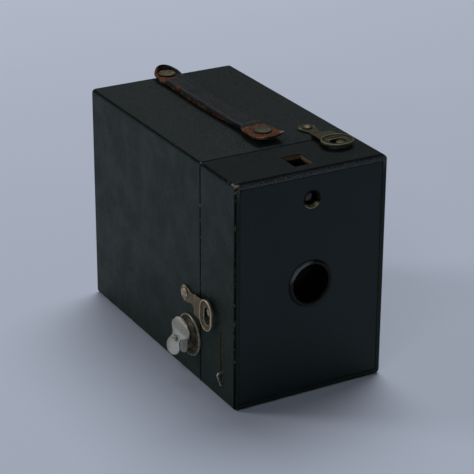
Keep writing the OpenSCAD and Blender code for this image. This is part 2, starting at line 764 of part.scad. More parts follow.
module carrier_side_boards() color([0.55, 0.40, 0.25]) {
    // left board, with a notch that lets it pass the key shaft
    difference() {
        side_board(-frame_x, [supply_z]);
        along_x(-frame_x - 1, -side_x + 1, key_notch_r, key_f, key_z);
        block(-frame_x - 1, -side_x + 1, key_f, half_d, key_z - key_notch_r, key_z + key_notch_r);
    }
    side_board(side_x, [key_z, supply_z]);
}

// pyramid that tapers in both directions: a wedge in plan and a wedge in side view, crossed
// inset narrows it and lengthens it at both ends
module pyramid(inset = 0) {
    front_f = lboard_back_f - inset;
    back_f = gate_f + inset;
    front = cone_front - inset;
    back_x = cone_back_x - inset;
    back_z = cone_back_z - inset;
    intersection() {
        translate([0, -half_d, -1]) linear_extrude(box_h + 2)
            polygon([[-front, front_f], [front, front_f], [back_x, back_f], [-back_x, back_f]]);
        translate([0, 0, lens_z]) side_profile(-half_w, box_w)
            polygon([[front_f, -front], [front_f, front], [back_f, back_z], [back_f, -back_z]]);
    }
}

module film_cone() color([0.08, 0.08, 0.08]) difference() {
    pyramid();
    pyramid(cone_t);
}

module film_gate() color([0.13, 0.13, 0.13]) difference() {
    union() {
        block(-gate_x, gate_x, gate_f, gate_f + gate_t, lens_z - gate_dz, lens_z + gate_dz);
        for (side = [-1, 1]) {
            cheek = side * cheek_x - cheek_t / 2;
            strip = side * strip_x - strip_t / 2;
            // arms that carry the rollers
            for (end = [-1, 1]) side_profile(cheek, cheek_t)
                bar([roller_f, lens_z + end * roller_dz],
                    [gate_f - 0.8, lens_z + end * (pic_h / 2 - 3)], 1.8);
            block(cheek, cheek + cheek_t, gate_f - 3, gate_f + gate_t,
                lens_z - gate_dz, lens_z + gate_dz);
            block(strip, strip + strip_t, gate_f - 3, gate_f + gate_t,
                strip_z, opposite(strip_z));
        }
    }
    block(-pic_w / 2, pic_w / 2, gate_f - 1, gate_f + 2, lens_z - pic_h / 2, lens_z + pic_h / 2);
    for (end = [-1, 1])
        along_x(-half_w, half_w, axle_r + 0.05, roller_f, lens_z + end * roller_dz);
}

module roller_axles() color([0.70, 0.70, 0.66]) for (end = [-1, 1])
    along_x(-gate_x, gate_x, axle_r, roller_f, lens_z + end * roller_dz);

// end: 1 for the upper roller, -1 for the lower
module roller(end) color([0.70, 0.70, 0.68]) difference() {
    z = lens_z + end * roller_dz;
    along_x(-gate_x + 1.2, gate_x - 1.2, roller_r, roller_f, z);
    along_x(-half_w, half_w, axle_r + run, roller_f, z);
}
module upper_roller() roller(1);
module lower_roller() roller(-1);

// ---------- spools ----------

spool_flange_t = 0.5;
socket_r = pin_r + 0.08;
socket_l = 4.5;
core_wood = [0.72, 0.55, 0.35];
flange_black = [0.14, 0.14, 0.14];

// pin with a chamfered tip and a flat head; profile: [radius, distance from the middle plane]
module spool_pin(side, z) {
    tip = spool_x - 3;
    translate([0, key_f - half_d, z]) rotate([0, side * 90, 0]) rotate_extrude()
        polygon([[0, tip], [pin_r - 0.5, tip], [pin_r, tip + 0.6], [pin_r, frame_x],
            [3.5, frame_x], [3.5, frame_x + 0.3], [0, frame_x + 0.3]]);
}

module spool_pins() color([0.68, 0.66, 0.58]) {
    spool_pin(-1, supply_z);
    spool_pin(1, supply_z);
    spool_pin(1, key_z);
}

module spool_spring_washers() color([0.72, 0.62, 0.35]) difference() {
    both_sides(spool_x + 0.2, side_x, 5.5, key_f, supply_z);
    along_x(-half_w, half_w, pin_r + 0.02, key_f, supply_z);
}

// round socket at the right end, and at the left a cross slot for the key or a second socket
module spool_sockets(z, slot) {
    along_x(spool_x - socket_l, half_w, socket_r, key_f, z);
    if (slot) block(-spool_x - 1, -spool_x + 3.6, key_f - 3.5, key_f + 3.5, z - 0.85, z + 0.85);
    else along_x(-half_w, -spool_x + socket_l, socket_r, key_f, z);
}

module spool_core(z, slot) color(core_wood) difference() {
    along_x(-spool_x + spool_flange_t, spool_x - spool_flange_t, core_r, key_f, z);
    spool_sockets(z, slot);
}

module spool_flanges(z, slot) color(flange_black) difference() {
    both_sides(spool_x - spool_flange_t, spool_x, flange_r, key_f, z);
    spool_sockets(z, slot);
}

module take_up_core() spool_core(key_z, slot = true);
module take_up_flanges() spool_flanges(key_z, slot = true);
module supply_core() spool_core(supply_z, slot = false);
module supply_flanges() spool_flanges(supply_z, slot = false);

// ---------- assembly ----------

rear_case();
rear_covering();
red_window_ring();
red_window();
strap();
strap_studs();
latch_rivets();
key_cup();
key_washer();
key_shaft();
key_handle();
key_rivet();
top_latch();
side_latch();
latch_studs();
front_case();
front_covering();
front_panel();
lens_bezel();
finder_housing();
finder_lens_mount();
finder_lens();
finder_mirror();
finder_glass();
lens_board();
shutter_plate();
shutter_screws();
shutter_rivets();
shutter_spring();
shutter_lever();
shutter_disc();
lens_cell();
stop_plate();
lens();
lens_retainer();
carrier_side_boards();
film_cone();
film_gate();
roller_axles();
upper_roller();
lower_roller();
spool_pins();
spool_spring_washers();
take_up_core();
take_up_flanges();
supply_core();
supply_flanges();
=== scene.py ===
"""A small leatherette-covered box camera with a strap, two ring latches and a winding key.

The lens looks towards -Y, +Z is up, and the key and the lever are on the left, at -X.
Shapes are in millimetres. Shader nodes, lights and the camera are in metres.
"""
import json
import math
import bmesh
import bpy
from mathutils import Matrix, Vector, noise


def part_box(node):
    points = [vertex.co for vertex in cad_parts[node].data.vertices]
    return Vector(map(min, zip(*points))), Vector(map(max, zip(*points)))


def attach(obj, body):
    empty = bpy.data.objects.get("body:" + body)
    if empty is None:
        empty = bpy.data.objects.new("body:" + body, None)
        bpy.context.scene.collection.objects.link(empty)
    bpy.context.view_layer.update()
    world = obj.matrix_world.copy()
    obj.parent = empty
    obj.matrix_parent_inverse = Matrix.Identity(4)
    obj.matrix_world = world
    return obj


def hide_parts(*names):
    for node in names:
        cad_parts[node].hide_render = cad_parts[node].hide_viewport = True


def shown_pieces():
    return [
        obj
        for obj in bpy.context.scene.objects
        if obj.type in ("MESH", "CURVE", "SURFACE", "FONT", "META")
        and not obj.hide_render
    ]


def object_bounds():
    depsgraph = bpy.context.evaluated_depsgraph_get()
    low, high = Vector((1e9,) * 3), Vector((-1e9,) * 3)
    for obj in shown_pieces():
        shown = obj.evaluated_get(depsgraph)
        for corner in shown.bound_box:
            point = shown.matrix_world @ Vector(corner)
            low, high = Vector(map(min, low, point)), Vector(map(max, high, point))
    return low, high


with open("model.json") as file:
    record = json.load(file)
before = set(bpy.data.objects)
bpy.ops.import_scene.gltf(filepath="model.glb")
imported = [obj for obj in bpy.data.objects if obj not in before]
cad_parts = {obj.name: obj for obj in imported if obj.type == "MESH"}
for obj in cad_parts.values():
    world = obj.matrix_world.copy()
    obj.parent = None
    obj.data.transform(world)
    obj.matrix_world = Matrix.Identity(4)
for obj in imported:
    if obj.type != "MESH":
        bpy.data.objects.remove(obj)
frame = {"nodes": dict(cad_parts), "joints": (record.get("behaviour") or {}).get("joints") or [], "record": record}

MM = 0.001

# ---------- places read from the frame ----------

cad_lo, cad_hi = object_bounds()
joint = {j["name"]: j for j in frame["joints"]}


def mm_box(node):
    lo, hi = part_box(node)
    return lo * 1000, hi * 1000


def joint_at(name):
    return Vector(joint[name]["pos_m"]) * 1000


rear_lo, rear_hi = mm_box("rear_covering")
front_lo, front_hi = mm_box("front_covering")
HALF_W, TOP, BACK_Y, FRONT_Y = rear_hi.x, rear_hi.z, rear_hi.y, front_lo.y
SEAM = (rear_lo.y + front_hi.y) / 2
HALF_GAP = (rear_lo.y - front_hi.y) / 2
KEY = joint_at("key_turn")
TOP_RIVET = joint_at("top_latch_swing")
SIDE_RIVET = joint_at("side_latch_swing")
BORDER = HALF_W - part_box("front_panel")[1].x * 1000  # turned-over cloth beside the front plate
bezel_lo, bezel_hi = mm_box("lens_bezel")
finder_lo, finder_hi = mm_box("finder_lens_mount")
LENS_Z = (bezel_lo.z + bezel_hi.z) / 2
FINDER_Z = (finder_lo.z + finder_hi.z) / 2

CORNER_R = 2.2  # case corners seen from the front
FACE_R = 1.2    # edge round the front face
BACK_R = 2.2    # edge round the back face
SEAM_R = 0.50   # cloth rounding at the seam
CLOTH = 0.36    # cloth thickness


# ---------- numbers ----------

def clamp(value, low=0.0, high=1.0):
    return low if value < low else high if value > high else value


def smooth(value, start=0.0, end=1.0):
    t = clamp((value - start) / (end - start))
    return t * t * (3 - 2 * t)


def fade(value, full, none):
    """1 up to full, falling smoothly to 0 at none."""
    return 1 - smooth(value, full, none)


def bell(value, centre, width):
    return math.exp(-((value - centre) / width) ** 2)


def curve(points, at):
    """Smooth value through (place, value) points, level beyond both ends."""
    if at <= points[0][0]:
        return points[0][1]
    for i, (start, end) in enumerate(zip(points, points[1:])):
        if at <= end[0]:
            prev = points[i - 1] if i else start
            after = points[i + 2] if i + 2 < len(points) else end
            span = end[0] - start[0]
            t = (at - start[0]) / span
            leave = (end[1] - prev[1]) / (end[0] - prev[0]) * span if end[0] > prev[0] else 0
            arrive = 0
            if after[0] > start[0]:
                arrive = (after[1] - start[1]) / (after[0] - start[0]) * span
            return ((2 * t ** 3 - 3 * t ** 2 + 1) * start[1] + (t ** 3 - 2 * t ** 2 + t) * leave
                    + (-2 * t ** 3 + 3 * t ** 2) * end[1] + (t ** 3 - t ** 2) * arrive)
    return points[-1][1]


def wobble(x, y, z, size, seed=0.0):
    return noise.noise(Vector((x / size + seed, y / size - seed, z / size + 2 * seed)))


# ---------- shapes: a shape is (vertices, faces) ----------

def loft(rings, closed=False):
    """Skin through rings of equally many points. An open loft is capped at both ends."""
    n = len(rings[0])
    verts = [p for ring in rings for p in ring]
    faces = []
    for i in range(len(rings) - (0 if closed else 1)):
        this, after = i * n, ((i + 1) % len(rings)) * n
        faces += [(this + k, this + (k + 1) % n, after + (k + 1) % n, after + k)
                  for k in range(n)]
    if not closed:
        faces.append(tuple(reversed(range(n))))
        faces.append(tuple(range(len(verts) - n, len(verts))))
    return verts, faces


def lathe(profile, steps=72):
    """Solid from (radius, height) points turned round Z."""
    turns = [2 * math.pi * k / steps for k in range(steps)]
    return loft([[(r * math.cos(a), r * math.sin(a), z) for a in turns] for r, z in profile])


def rod(start, end, radius, steps=72):
    """Cylinder from start to end, along X or Y."""
    rings = []
    for x, y, z in (start, end):
        ring = []
        for k in range(steps):
            a = 2 * math.pi * k / steps
            over, up = radius * math.cos(a), radius * math.sin(a)
            along_x = start[0] != end[0]
            ring.append((x, y + over, z + up) if along_x else (x + over, y, z + up))
        rings.append(ring)
    return loft(rings)


def block(x0, x1, y0, y1, z0, z1):
    verts = [(x, y, z) for x in (x0, x1) for y in (y0, y1) for z in (z0, z1)]
    return verts, [(0, 1, 3, 2), (4, 6, 7, 5), (0, 4, 5, 1), (2, 3, 7, 6), (0, 2, 6, 4), (1, 5, 7, 3)]


def rounded(profile, radius, steps=3, closed=True):
    """Rounds the corners of a (u, v) outline."""
    out, n = [], len(profile)
    for i in range(n):
        here = Vector(profile[i])
        if not closed and i in (0, n - 1):
            out.append(tuple(here))
            continue
        back = Vector(profile[i - 1]) - here
        ahead = Vector(profile[(i + 1) % n]) - here
        trim = min(radius, back.length * 0.45, ahead.length * 0.45)
        start, end = here + back.normalized() * trim, here + ahead.normalized() * trim
        for k in range(steps + 1):
            t = k / steps
            out.append(tuple(start * (1 - t) ** 2 + here * 2 * t * (1 - t) + end * t * t))
    return out


def placed(shape, place):
    """Shape moved by a matrix that is in metres."""
    verts, faces = shape
    return [tuple((place @ (Vector(p) * MM)) * 1000) for p in verts], faces


def lifted(shape, dy, dz):
    verts, faces = shape
    return [(x, y + dy, z + dz) for x, y, z in verts], faces


def joined(shapes):
    verts, faces = [], []
    for part_verts, part_faces in shapes:
        base = len(verts)
        verts += part_verts
        faces += [tuple(base + k for k in face) for face in part_faces]
    return verts, faces


# ---------- objects ----------

def mesh_of(name, shape):
    verts, faces = shape
    mesh = bpy.data.meshes.new(name)
    mesh.from_pydata([(x * MM, y * MM, z * MM) for x, y, z in verts], [], faces)
    return mesh


def clean(mesh, merge=0.0, dissolve=0.0, outward=True):
    """Merges close vertices, drops tiny edges (both in metres) and turns faces outward."""
    bm = bmesh.new()
    bm.from_mesh(mesh)
    if merge:
        bmesh.ops.remove_doubles(bm, verts=bm.verts, dist=merge)
    if dissolve:
        bmesh.ops.dissolve_degenerate(bm, edges=bm.edges, dist=dissolve)
    if outward:
        bmesh.ops.recalc_face_normals(bm, faces=bm.faces)
    bm.to_mesh(mesh)
    bm.free()


def add_object(name, data):
    obj = bpy.data.objects.new(name, data)
    bpy.context.scene.collection.objects.link(obj)
    return obj


def shade_smooth(mesh):
    mesh.polygons.foreach_set("use_smooth", [True] * len(mesh.polygons))


def build(name, shape, body, material, node=None, place=None):
    """Makes a piece that rides on body and stands for a frame node."""
    mesh = mesh_of(name, shape)
    if place is not None:
        mesh.transform(place)
    clean(mesh, merge=2e-6, dissolve=1e-6)
    shade_smooth(mesh)
    mesh.materials.append(material)
    obj = add_object(name, mesh)
    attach(obj, body)
    if node:
        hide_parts(node)
    return obj


def boolean(target, tool, operation):
    """Applies a boolean to target and removes the tool."""
    mod = target.modifiers.new("boolean", "BOOLEAN")
    mod.object, mod.operation, mod.solver = tool, operation, "EXACT"
    bpy.context.view_layer.update()
    graph = bpy.context.evaluated_depsgraph_get()
    mesh = bpy.data.meshes.new_from_object(
        target.evaluated_get(graph), preserve_all_data_layers=True, depsgraph=graph)
    target.modifiers.clear()
    target.data = mesh
    bpy.data.objects.remove(tool)


def cut(target, shape):
    mesh = mesh_of("cutter", shape)
    clean(mesh)
    boolean(target, add_object("cutter", mesh), "DIFFERENCE")


def bevel(obj, width):
    mod = obj.modifiers.new("edges", "BEVEL")
    mod.width, mod.segments = width * MM, 2
    mod.limit_method, mod.angle_limit = "ANGLE", math.radians(35)
    return mod


def attribute(obj, name, rule):
    """Stores rule(x, y, z) at each vertex."""
    layer = obj.data.attributes.new(name, "FLOAT", "POINT")
    layer.data.foreach_set("value", [rule(*(v.co * 1000)) for v in obj.data.vertices])


# ---------- material tools ----------

class Material:
    """A Principled material with short calls for its nodes."""

    def __init__(self, name):
        self.made = bpy.data.materials.new(name)
        self.made.use_nodes = True
        self.tree = self.made.node_tree
        self.tree.nodes.clear()
        output = self.new("ShaderNodeOutputMaterial")
        self.shader = self.new("ShaderNodeBsdfPrincipled")
        self.tree.links.new(self.shader.outputs[0], output.inputs[0])
        self.place = self.new("ShaderNodeTexCoord").outputs["Object"]

    def new(self, kind, **inputs):
        node = self.tree.nodes.new(kind)
        for key, value in inputs.items():
            self.put(node.inputs[key], value)
        return node

    def put(self, socket, value):
        if isinstance(value, bpy.types.NodeSocket):
            self.tree.links.new(value, socket)
        elif isinstance(value, tuple) and len(value) == 3 and socket.type == "RGBA":
            socket.default_value = (*value, 1)
        else:
            socket.default_value = value

    def finish(self, **values):
        """Sets the shader's inputs and gives the material."""
        for key, value in values.items():
            self.put(self.shader.inputs[key.replace("_", " ")], value)
        return self.made

    def vector(self, operation, first, second):
        node = self.new("ShaderNodeVectorMath")
        node.operation = operation
        self.put(node.inputs[0], first)
        self.put(node.inputs["Scale" if operation == "SCALE" else 1], second)
        return node.outputs[0]

    def scaled(self, *factors):
        return self.vector("MULTIPLY", self.place, factors)

    def noise(self, scale, detail=3, rough=0.55, at=None, bend=0.0):
        return self.new("ShaderNodeTexNoise", Scale=scale, Detail=detail, Roughness=rough,
                        Distortion=bend, Vector=at or self.place).outputs[0]

    def cells(self, scale, at=None, feature="F1"):
        node = self.new("ShaderNodeTexVoronoi")
        node.feature = feature
        self.put(node.inputs["Vector"], at or self.place)
        self.put(node.inputs["Scale"], scale)
        return node.outputs["Distance"]

    def math(self, operation, first, second=0.0):
        node = self.new("ShaderNodeMath")
        node.operation = operation
        for socket, value in zip(node.inputs, (first, second, 0.0)):
            self.put(socket, value)
        return node.outputs[0]

    def add(self, first, second):
        return self.math("ADD", first, second)

    def sub(self, first, second):
        return self.math("SUBTRACT", first, second)

    def mul(self, first, second):
        return self.math("MULTIPLY", first, second)

    def ramp(self, value, start, end, low=0.0, high=1.0):
        """Smooth change from low to high as value goes from start to end."""
        node = self.new("ShaderNodeMapRange")
        node.interpolation_type = "SMOOTHSTEP"
        for key, number in (("Value", value), ("From Min", start), ("From Max", end),
                            ("To Min", low), ("To Max", high)):
            self.put(node.inputs[key], number)
        return node.outputs[0]

    def mix(self, amount, first, second, blend="MIX"):
        node = self.new("ShaderNodeMix")
        node.data_type, node.blend_type = "RGBA", blend
        for socket, value in ((0, amount), (6, first), (7, second)):
            self.put(node.inputs[socket], value)
        return node.outputs[2]

    def attr(self, name):
        node = self.new("ShaderNodeAttribute")
        node.attribute_name = name
        return node.outputs["Fac"]

    def axis(self, index):
        return self.new("ShaderNodeSeparateXYZ", Vector=self.place).outputs[index]

    def sharp(self):
        """High on convex edges."""
        return self.new("ShaderNodeNewGeometry").outputs["Pointiness"]

    def bump(self, height, distance, strength=1.0, under=None):
        node = self.new("ShaderNodeBump", Strength=strength, Distance=distance, Height=height)
        if under is not None:
            self.put(node.inputs["Normal"], under)
        return node.outputs[0]

    def dusty(self, clean_rough, most, scale=2200, start=0.58):
        """Roughness of polished glass, raised by up to most where dust lies."""
        specks = self.noise(scale, detail=4, rough=0.75)
        return self.add(self.ramp(specks, start, 0.80, low=0, high=most), clean_rough)


# ---------- materials ----------

def leatherette():
    mat = Material("leatherette")
    # pebble cells, their places bent by a coloured noise
    wander = mat.new("ShaderNodeTexNoise", Scale=500.0, Detail=2.0, Vector=mat.place)
    bent = mat.vector("ADD", mat.place, mat.vector("SCALE", wander.outputs["Color"], 0.0009))
    pebble = mat.cells(1000, at=bent, feature="SMOOTH_F1")
    crack = mat.cells(1000, at=bent, feature="DISTANCE_TO_EDGE")
    grain = mat.sub(mat.ramp(crack, 0.0, 0.24), mat.mul(pebble, 0.35))
    rub = mat.noise(240, detail=4, rough=0.65)
    worn, shade = mat.attr("wear"), mat.attr("shade")
    # green-black cloth with two faint broad mottlings
    base = mat.mix(mat.ramp(grain, 0.1, 0.8), (0.0056, 0.0106, 0.0074), (0.0155, 0.0268, 0.0172))
    broad = mat.noise(24, detail=3, rough=0.5)
    base = mat.mix(mat.ramp(broad, 0.35, 0.7, high=0.10), base, (0.0115, 0.0205, 0.0150))
    middle = mat.noise(75, detail=4, rough=0.6)
    base = mat.mix(mat.ramp(middle, 0.50, 0.72, high=0.07), base, (0.0180, 0.0290, 0.0220))
    # painted shade: the tops darkened and tinted blue where the shade attribute is high
    base = mat.mix(shade, base, mat.mix(0.55, base, (0.0105, 0.0098, 0.0190)))
    # pale turned-over strip, then painted shade on the edges, also darkening the seam and a line on the top
    strip = mat.mul(mat.attr("border"), mat.ramp(grain, 0.25, 0.8, low=0.25, high=1.0))
    base = mat.mix(strip, base, (0.112, 0.118, 0.114))
    dark = mat.ramp(mat.attr("edge"), 0.35, 0.85, high=0.92)
    base = mat.mix(dark, base, (0.0028, 0.0036, 0.0038))
    # rubbed through: pale fibre and brown board where wear is high
    fine_speck = mat.noise(900, detail=3, rough=0.6)
    speck = mat.add(mat.mul(rub, 0.75), mat.mul(fine_speck, 0.25))
    bare = mat.ramp(mat.add(speck, mat.mul(worn, 0.42)), 0.74, 0.82)
    fluff = mat.noise(620, detail=3, rough=0.6)
    pale = mat.ramp(mat.add(fluff, mat.mul(worn, 0.16)), 0.58, 0.68)
    fibre = mat.mix(pale, (0.040, 0.026, 0.015), (0.205, 0.190, 0.150))
    brown = mat.ramp(mat.add(rub, mat.mul(mat.attr("rub"), 0.5)), 0.84, 0.96)
    rubbed = mat.mix(brown, base, (0.080, 0.040, 0.024))
    # edges darkened with painted shade, tops under painted shade and bare places shine less
    rough = mat.ramp(mat.noise(90, detail=3), 0.3, 0.7, low=0.46, high=0.60)
    gloss = mat.mul(mat.ramp(dark, 0, 0.9, low=0.34, high=0.06),
                    mat.ramp(shade, 0, 1, low=1, high=0.22))
    # painted light: reflections tinted green on the sides and nearly neutral, bluer, on the tops
    on_top = mat.ramp(mat.axis(2), (TOP - 0.6) * MM, (TOP - 0.25) * MM)
    relief = mat.add(grain, mat.mul(mat.noise(4200, detail=4, rough=0.6), 0.25))
    hollows = mat.bump(mat.mul(bare, -1.0), distance=0.00018, strength=0.8)
    return mat.finish(
        Base_Color=mat.mix(bare, rubbed, fibre),
        Roughness=mat.add(rough, mat.mul(bare, 0.25)),
        Specular_IOR_Level=mat.mul(gloss, mat.ramp(bare, 0, 1, low=1, high=0.4)),
        Specular_Tint=mat.mix(on_top, (0.74, 1.0, 0.86), (0.93, 0.98, 1.0)),
        Normal=mat.bump(relief, distance=0.00026, strength=0.85, under=hollows))


def panel_black():
    mat = Material("panel_black")
    scuff = mat.noise(900, detail=5, rough=0.7, at=mat.scaled(1, 1, 0.12))
    tone = mat.mix(mat.noise(30, detail=3), (0.0052, 0.0100, 0.0100), (0.0090, 0.0155, 0.0155))
    marks = mat.ramp(mat.noise(330, detail=5, rough=0.7), 0.66, 0.74, high=0.35)
    waves = mat.bump(mat.noise(45, detail=2), distance=0.0004, strength=0.08)
    return mat.finish(
        Base_Color=mat.mix(marks, tone, (0.022, 0.024, 0.026)),
        Roughness=mat.ramp(scuff, 0.3, 0.75, low=0.46, high=0.515),
        Specular_IOR_Level=0.32, Specular_Tint=(0.82, 1.0, 0.97),
        Normal=mat.bump(mat.noise(2600, detail=3), distance=0.00001, strength=0.2, under=waves))


def black_metal():
    """Black enamel, chipped on its edges."""
    mat = Material("black_metal")
    on_edge = mat.mul(mat.ramp(mat.sharp(), 0.52, 0.60), 0.16)
    chip = mat.ramp(mat.add(mat.noise(700, detail=4, rough=0.7), on_edge), 0.70, 0.74)
    black = mat.mix(mat.noise(120, detail=3), (0.007,) * 3, (0.015,) * 3)
    return mat.finish(
        Base_Color=mat.mix(chip, black, (0.10, 0.09, 0.075)),
        Roughness=mat.ramp(mat.noise(300, detail=3), 0.3, 0.7, low=0.24, high=0.42),
        Metallic=mat.mul(chip, 0.8),
        Normal=mat.bump(mat.noise(1500, detail=3), distance=0.00003, strength=0.5))


def metal(name, dark, mid, light, rough, tarnish, seed=0.0, grime=(0.035, 0.024, 0.014),
          past=None):
    """Mottled metal: tarnish in patches, bright rubbed edges, fine scratches.

    past is (axis, start, end, tint): beyond end, in mm, the tone is multiplied by tint.
    """
    mat = Material(name)
    moved = mat.vector("ADD", mat.place, (seed, seed * 0.7, -seed))
    patch = mat.noise(260, detail=4, rough=0.62, at=moved)
    mottled = mat.noise(1100, detail=4, rough=0.6, at=moved)
    edge = mat.ramp(mat.sharp(), 0.51, 0.57)
    tone = mat.mix(mat.ramp(mottled, 0.3, 0.7), dark, mid)
    tone = mat.mix(mat.mul(edge, 0.75), tone, light)
    patches = mat.ramp(patch, 0.68 - 0.3 * tarnish, 0.80 - 0.2 * tarnish)
    spots = mat.mul(patches, mat.sub(1.0, edge))
    scratch = mat.noise(2600, detail=4, rough=0.7, at=mat.scaled(1, 0.15, 0.4))
    if past:
        axis, start, end, tint = past
        beyond = mat.ramp(mat.axis(axis), start * MM, end * MM)
        tone = mat.mix(beyond, tone, mat.mix(1.0, tone, tint, blend="MULTIPLY"))
    return mat.finish(
        Base_Color=mat.mix(mat.mul(spots, 0.55 * tarnish), tone, grime),
        Metallic=mat.ramp(spots, 0, 1, low=0.92, high=0.55),
        Roughness=mat.add(mat.ramp(mottled, 0.3, 0.7, *rough), mat.mul(spots, 0.16)),
        Normal=mat.bump(scratch, distance=0.000018, strength=0.55,
                        under=mat.bump(patch, distance=0.00018, strength=0.25)))


def wood(name, dark, light, stretch, painted=False):
    """Wood with its grain drawn out along the axis where stretch is small."""
    mat = Material(name)
    grain = mat.noise(520, detail=6, rough=0.65, at=mat.scaled(*stretch), bend=0.6)
    line = mat.noise(1900, detail=4, rough=0.6, at=mat.scaled(*stretch))
    tone = mat.mix(mat.ramp(grain, 0.32, 0.68), dark, light)
    tone = mat.mix(mat.ramp(line, 0.56, 0.70, high=0.45), tone, tuple(c * 0.45 for c in dark))
    if painted:
        # painted black, with wood bare only near the outer faces
        depth = mat.sub(HALF_W * MM, mat.math("ABSOLUTE", mat.axis(0)))
        for face in (mat.mul(mat.sub(TOP * MM, mat.axis(2)), 0.65), mat.axis(2),
                     mat.sub(mat.axis(1), FRONT_Y * MM)):
            depth = mat.math("MINIMUM", depth, face)
        uneven = mat.mul(mat.sub(mat.noise(700, detail=3), 0.5), 0.0007)
        paint = mat.ramp(mat.add(depth, uneven), 0.0012, 0.0015)
        tone = mat.mix(paint, tone, (0.0060, 0.0060, 0.0058))
    return mat.finish(
        Base_Color=tone, Roughness=mat.ramp(grain, 0.3, 0.7, low=0.62, high=0.80),
        Specular_IOR_Level=0.20,
        Normal=mat.bump(mat.add(line, grain), distance=0.00010, strength=0.5))


def card(name, dark, light, rough=0.85):
    mat = Material(name)
    fibre = mat.noise(1300, detail=5, rough=0.7, at=mat.scaled(1, 0.5, 1))
    relief = mat.add(fibre, mat.noise(5000, detail=2))
    return mat.finish(
        Base_Color=mat.mix(mat.ramp(fibre, 0.3, 0.7), dark, light), Roughness=rough,
        Specular_IOR_Level=0.2, Normal=mat.bump(relief, distance=0.00006, strength=0.6))


def strap_leather():
    mat = Material("strap_leather")
    patch = mat.noise(330, detail=5, rough=0.65)
    bare = mat.ramp(mat.add(patch, mat.mul(mat.attr("bare"), 0.62)), 0.72, 0.92)
    crease = mat.noise(900, detail=4, rough=0.6, at=mat.scaled(1, 0.35, 1))
    pores = mat.cells(2600)
    crack_cells = mat.cells(620, at=mat.scaled(1, 0.8, 1), feature="DISTANCE_TO_EDGE")
    cracks = mat.ramp(crack_cells, 0.0, 0.06)  # 0 in a crack
    # black finish, with a painted highlight in grey along its shoulders
    black = mat.mix(mat.ramp(crease, 0.35, 0.68),
                    (0.0060, 0.0070, 0.0086), (0.0175, 0.0195, 0.0230))
    grey = mat.mul(mat.attr("shoulder"), mat.ramp(patch, 0.3, 0.65, low=0.35, high=0.95))
    black = mat.mix(grey, black, (0.085, 0.080, 0.082))
    # bare brown leather with darker stains and pale places
    brown = mat.mix(mat.ramp(mat.noise(700, detail=4, rough=0.6), 0.32, 0.68),
                    (0.052, 0.0170, 0.0062), (0.205, 0.067, 0.0230))
    stain = mat.ramp(mat.noise(140, detail=3, rough=0.6), 0.50, 0.66, high=0.7)
    brown = mat.mix(stain, brown, (0.050, 0.030, 0.013))
    frayed = mat.add(mat.noise(520, detail=3), mat.mul(mat.attr("edge"), 0.16))
    pale = mat.ramp(frayed, 0.68, 0.76, high=0.8)
    brown = mat.mix(mat.mul(pale, bare), brown, (0.240, 0.220, 0.200))
    tone = mat.mix(mat.sub(1.0, cracks), mat.mix(bare, black, brown), (0.006, 0.005, 0.005))
    relief = mat.add(mat.add(crease, mat.mul(pores, 0.5)), mat.mul(cracks, 0.6))
    return mat.finish(
        Base_Color=tone, Roughness=mat.ramp(patch, 0.3, 0.7, low=0.42, high=0.60),
        Specular_IOR_Level=mat.ramp(bare, 0, 1, low=0.19, high=0.10),
        Specular_Tint=(0.90, 0.97, 1.0),
        Normal=mat.bump(relief, distance=0.00012, strength=0.7))


def felt():
    mat = Material("felt")
    fluff = mat.noise(5200, detail=5, rough=0.8)
    return mat.finish(
        Base_Color=mat.mix(fluff, (0.006, 0.006, 0.006), (0.030, 0.028, 0.026)),
        Roughness=0.98, Specular_IOR_Level=0.1, Sheen_Weight=0.5,
        Normal=mat.bump(fluff, distance=0.00025))


def clear_glass():
    mat = Material("clear_glass")
    return mat.finish(
        Base_Color=(0.93, 0.96, 0.95), Roughness=mat.dusty(0.02, most=0.25),
        Transmission_Weight=1.0, IOR=1.5,
        Normal=mat.bump(mat.noise(160, detail=2), distance=0.00003, strength=0.2))


def ruby():
    mat = Material("ruby")
    return mat.finish(
        Base_Color=mat.mix(mat.noise(900, detail=3), (0.22, 0.006, 0.004), (0.34, 0.012, 0.008)),
        Roughness=mat.dusty(0.10, most=0.22), Transmission_Weight=0.25, IOR=1.5,
        Normal=mat.bump(mat.noise(160, detail=2), distance=0.00003, strength=0.2))


def finder_lens():
    """Small finder lens, opaque and dark: painted shade standing in for the unlit box seen through it."""
    mat = Material("finder_glass_painted_shade")
    tone = mat.mix(mat.noise(700, detail=2), (0.0060, 0.0024, 0.0036), (0.0150, 0.0080, 0.0100))
    return mat.finish(
        Base_Color=tone, Roughness=mat.dusty(0.06, most=0.20, scale=2400, start=0.60),
        Specular_IOR_Level=0.5,
        Normal=mat.bump(mat.noise(200, detail=2), distance=0.00003, strength=0.2))


def mirror():
    mat = Material("mirror_silver")
    foxing = mat.ramp(mat.noise(420, detail=5, rough=0.7), 0.60, 0.72)
    return mat.finish(
        Base_Color=mat.mix(foxing, (0.80, 0.82, 0.84), (0.16, 0.12, 0.09)), Metallic=0.95,
        Roughness=mat.add(mat.mul(foxing, 0.35), 0.06),
        Normal=mat.bump(mat.noise(900, detail=3), distance=0.00001, strength=0.3))


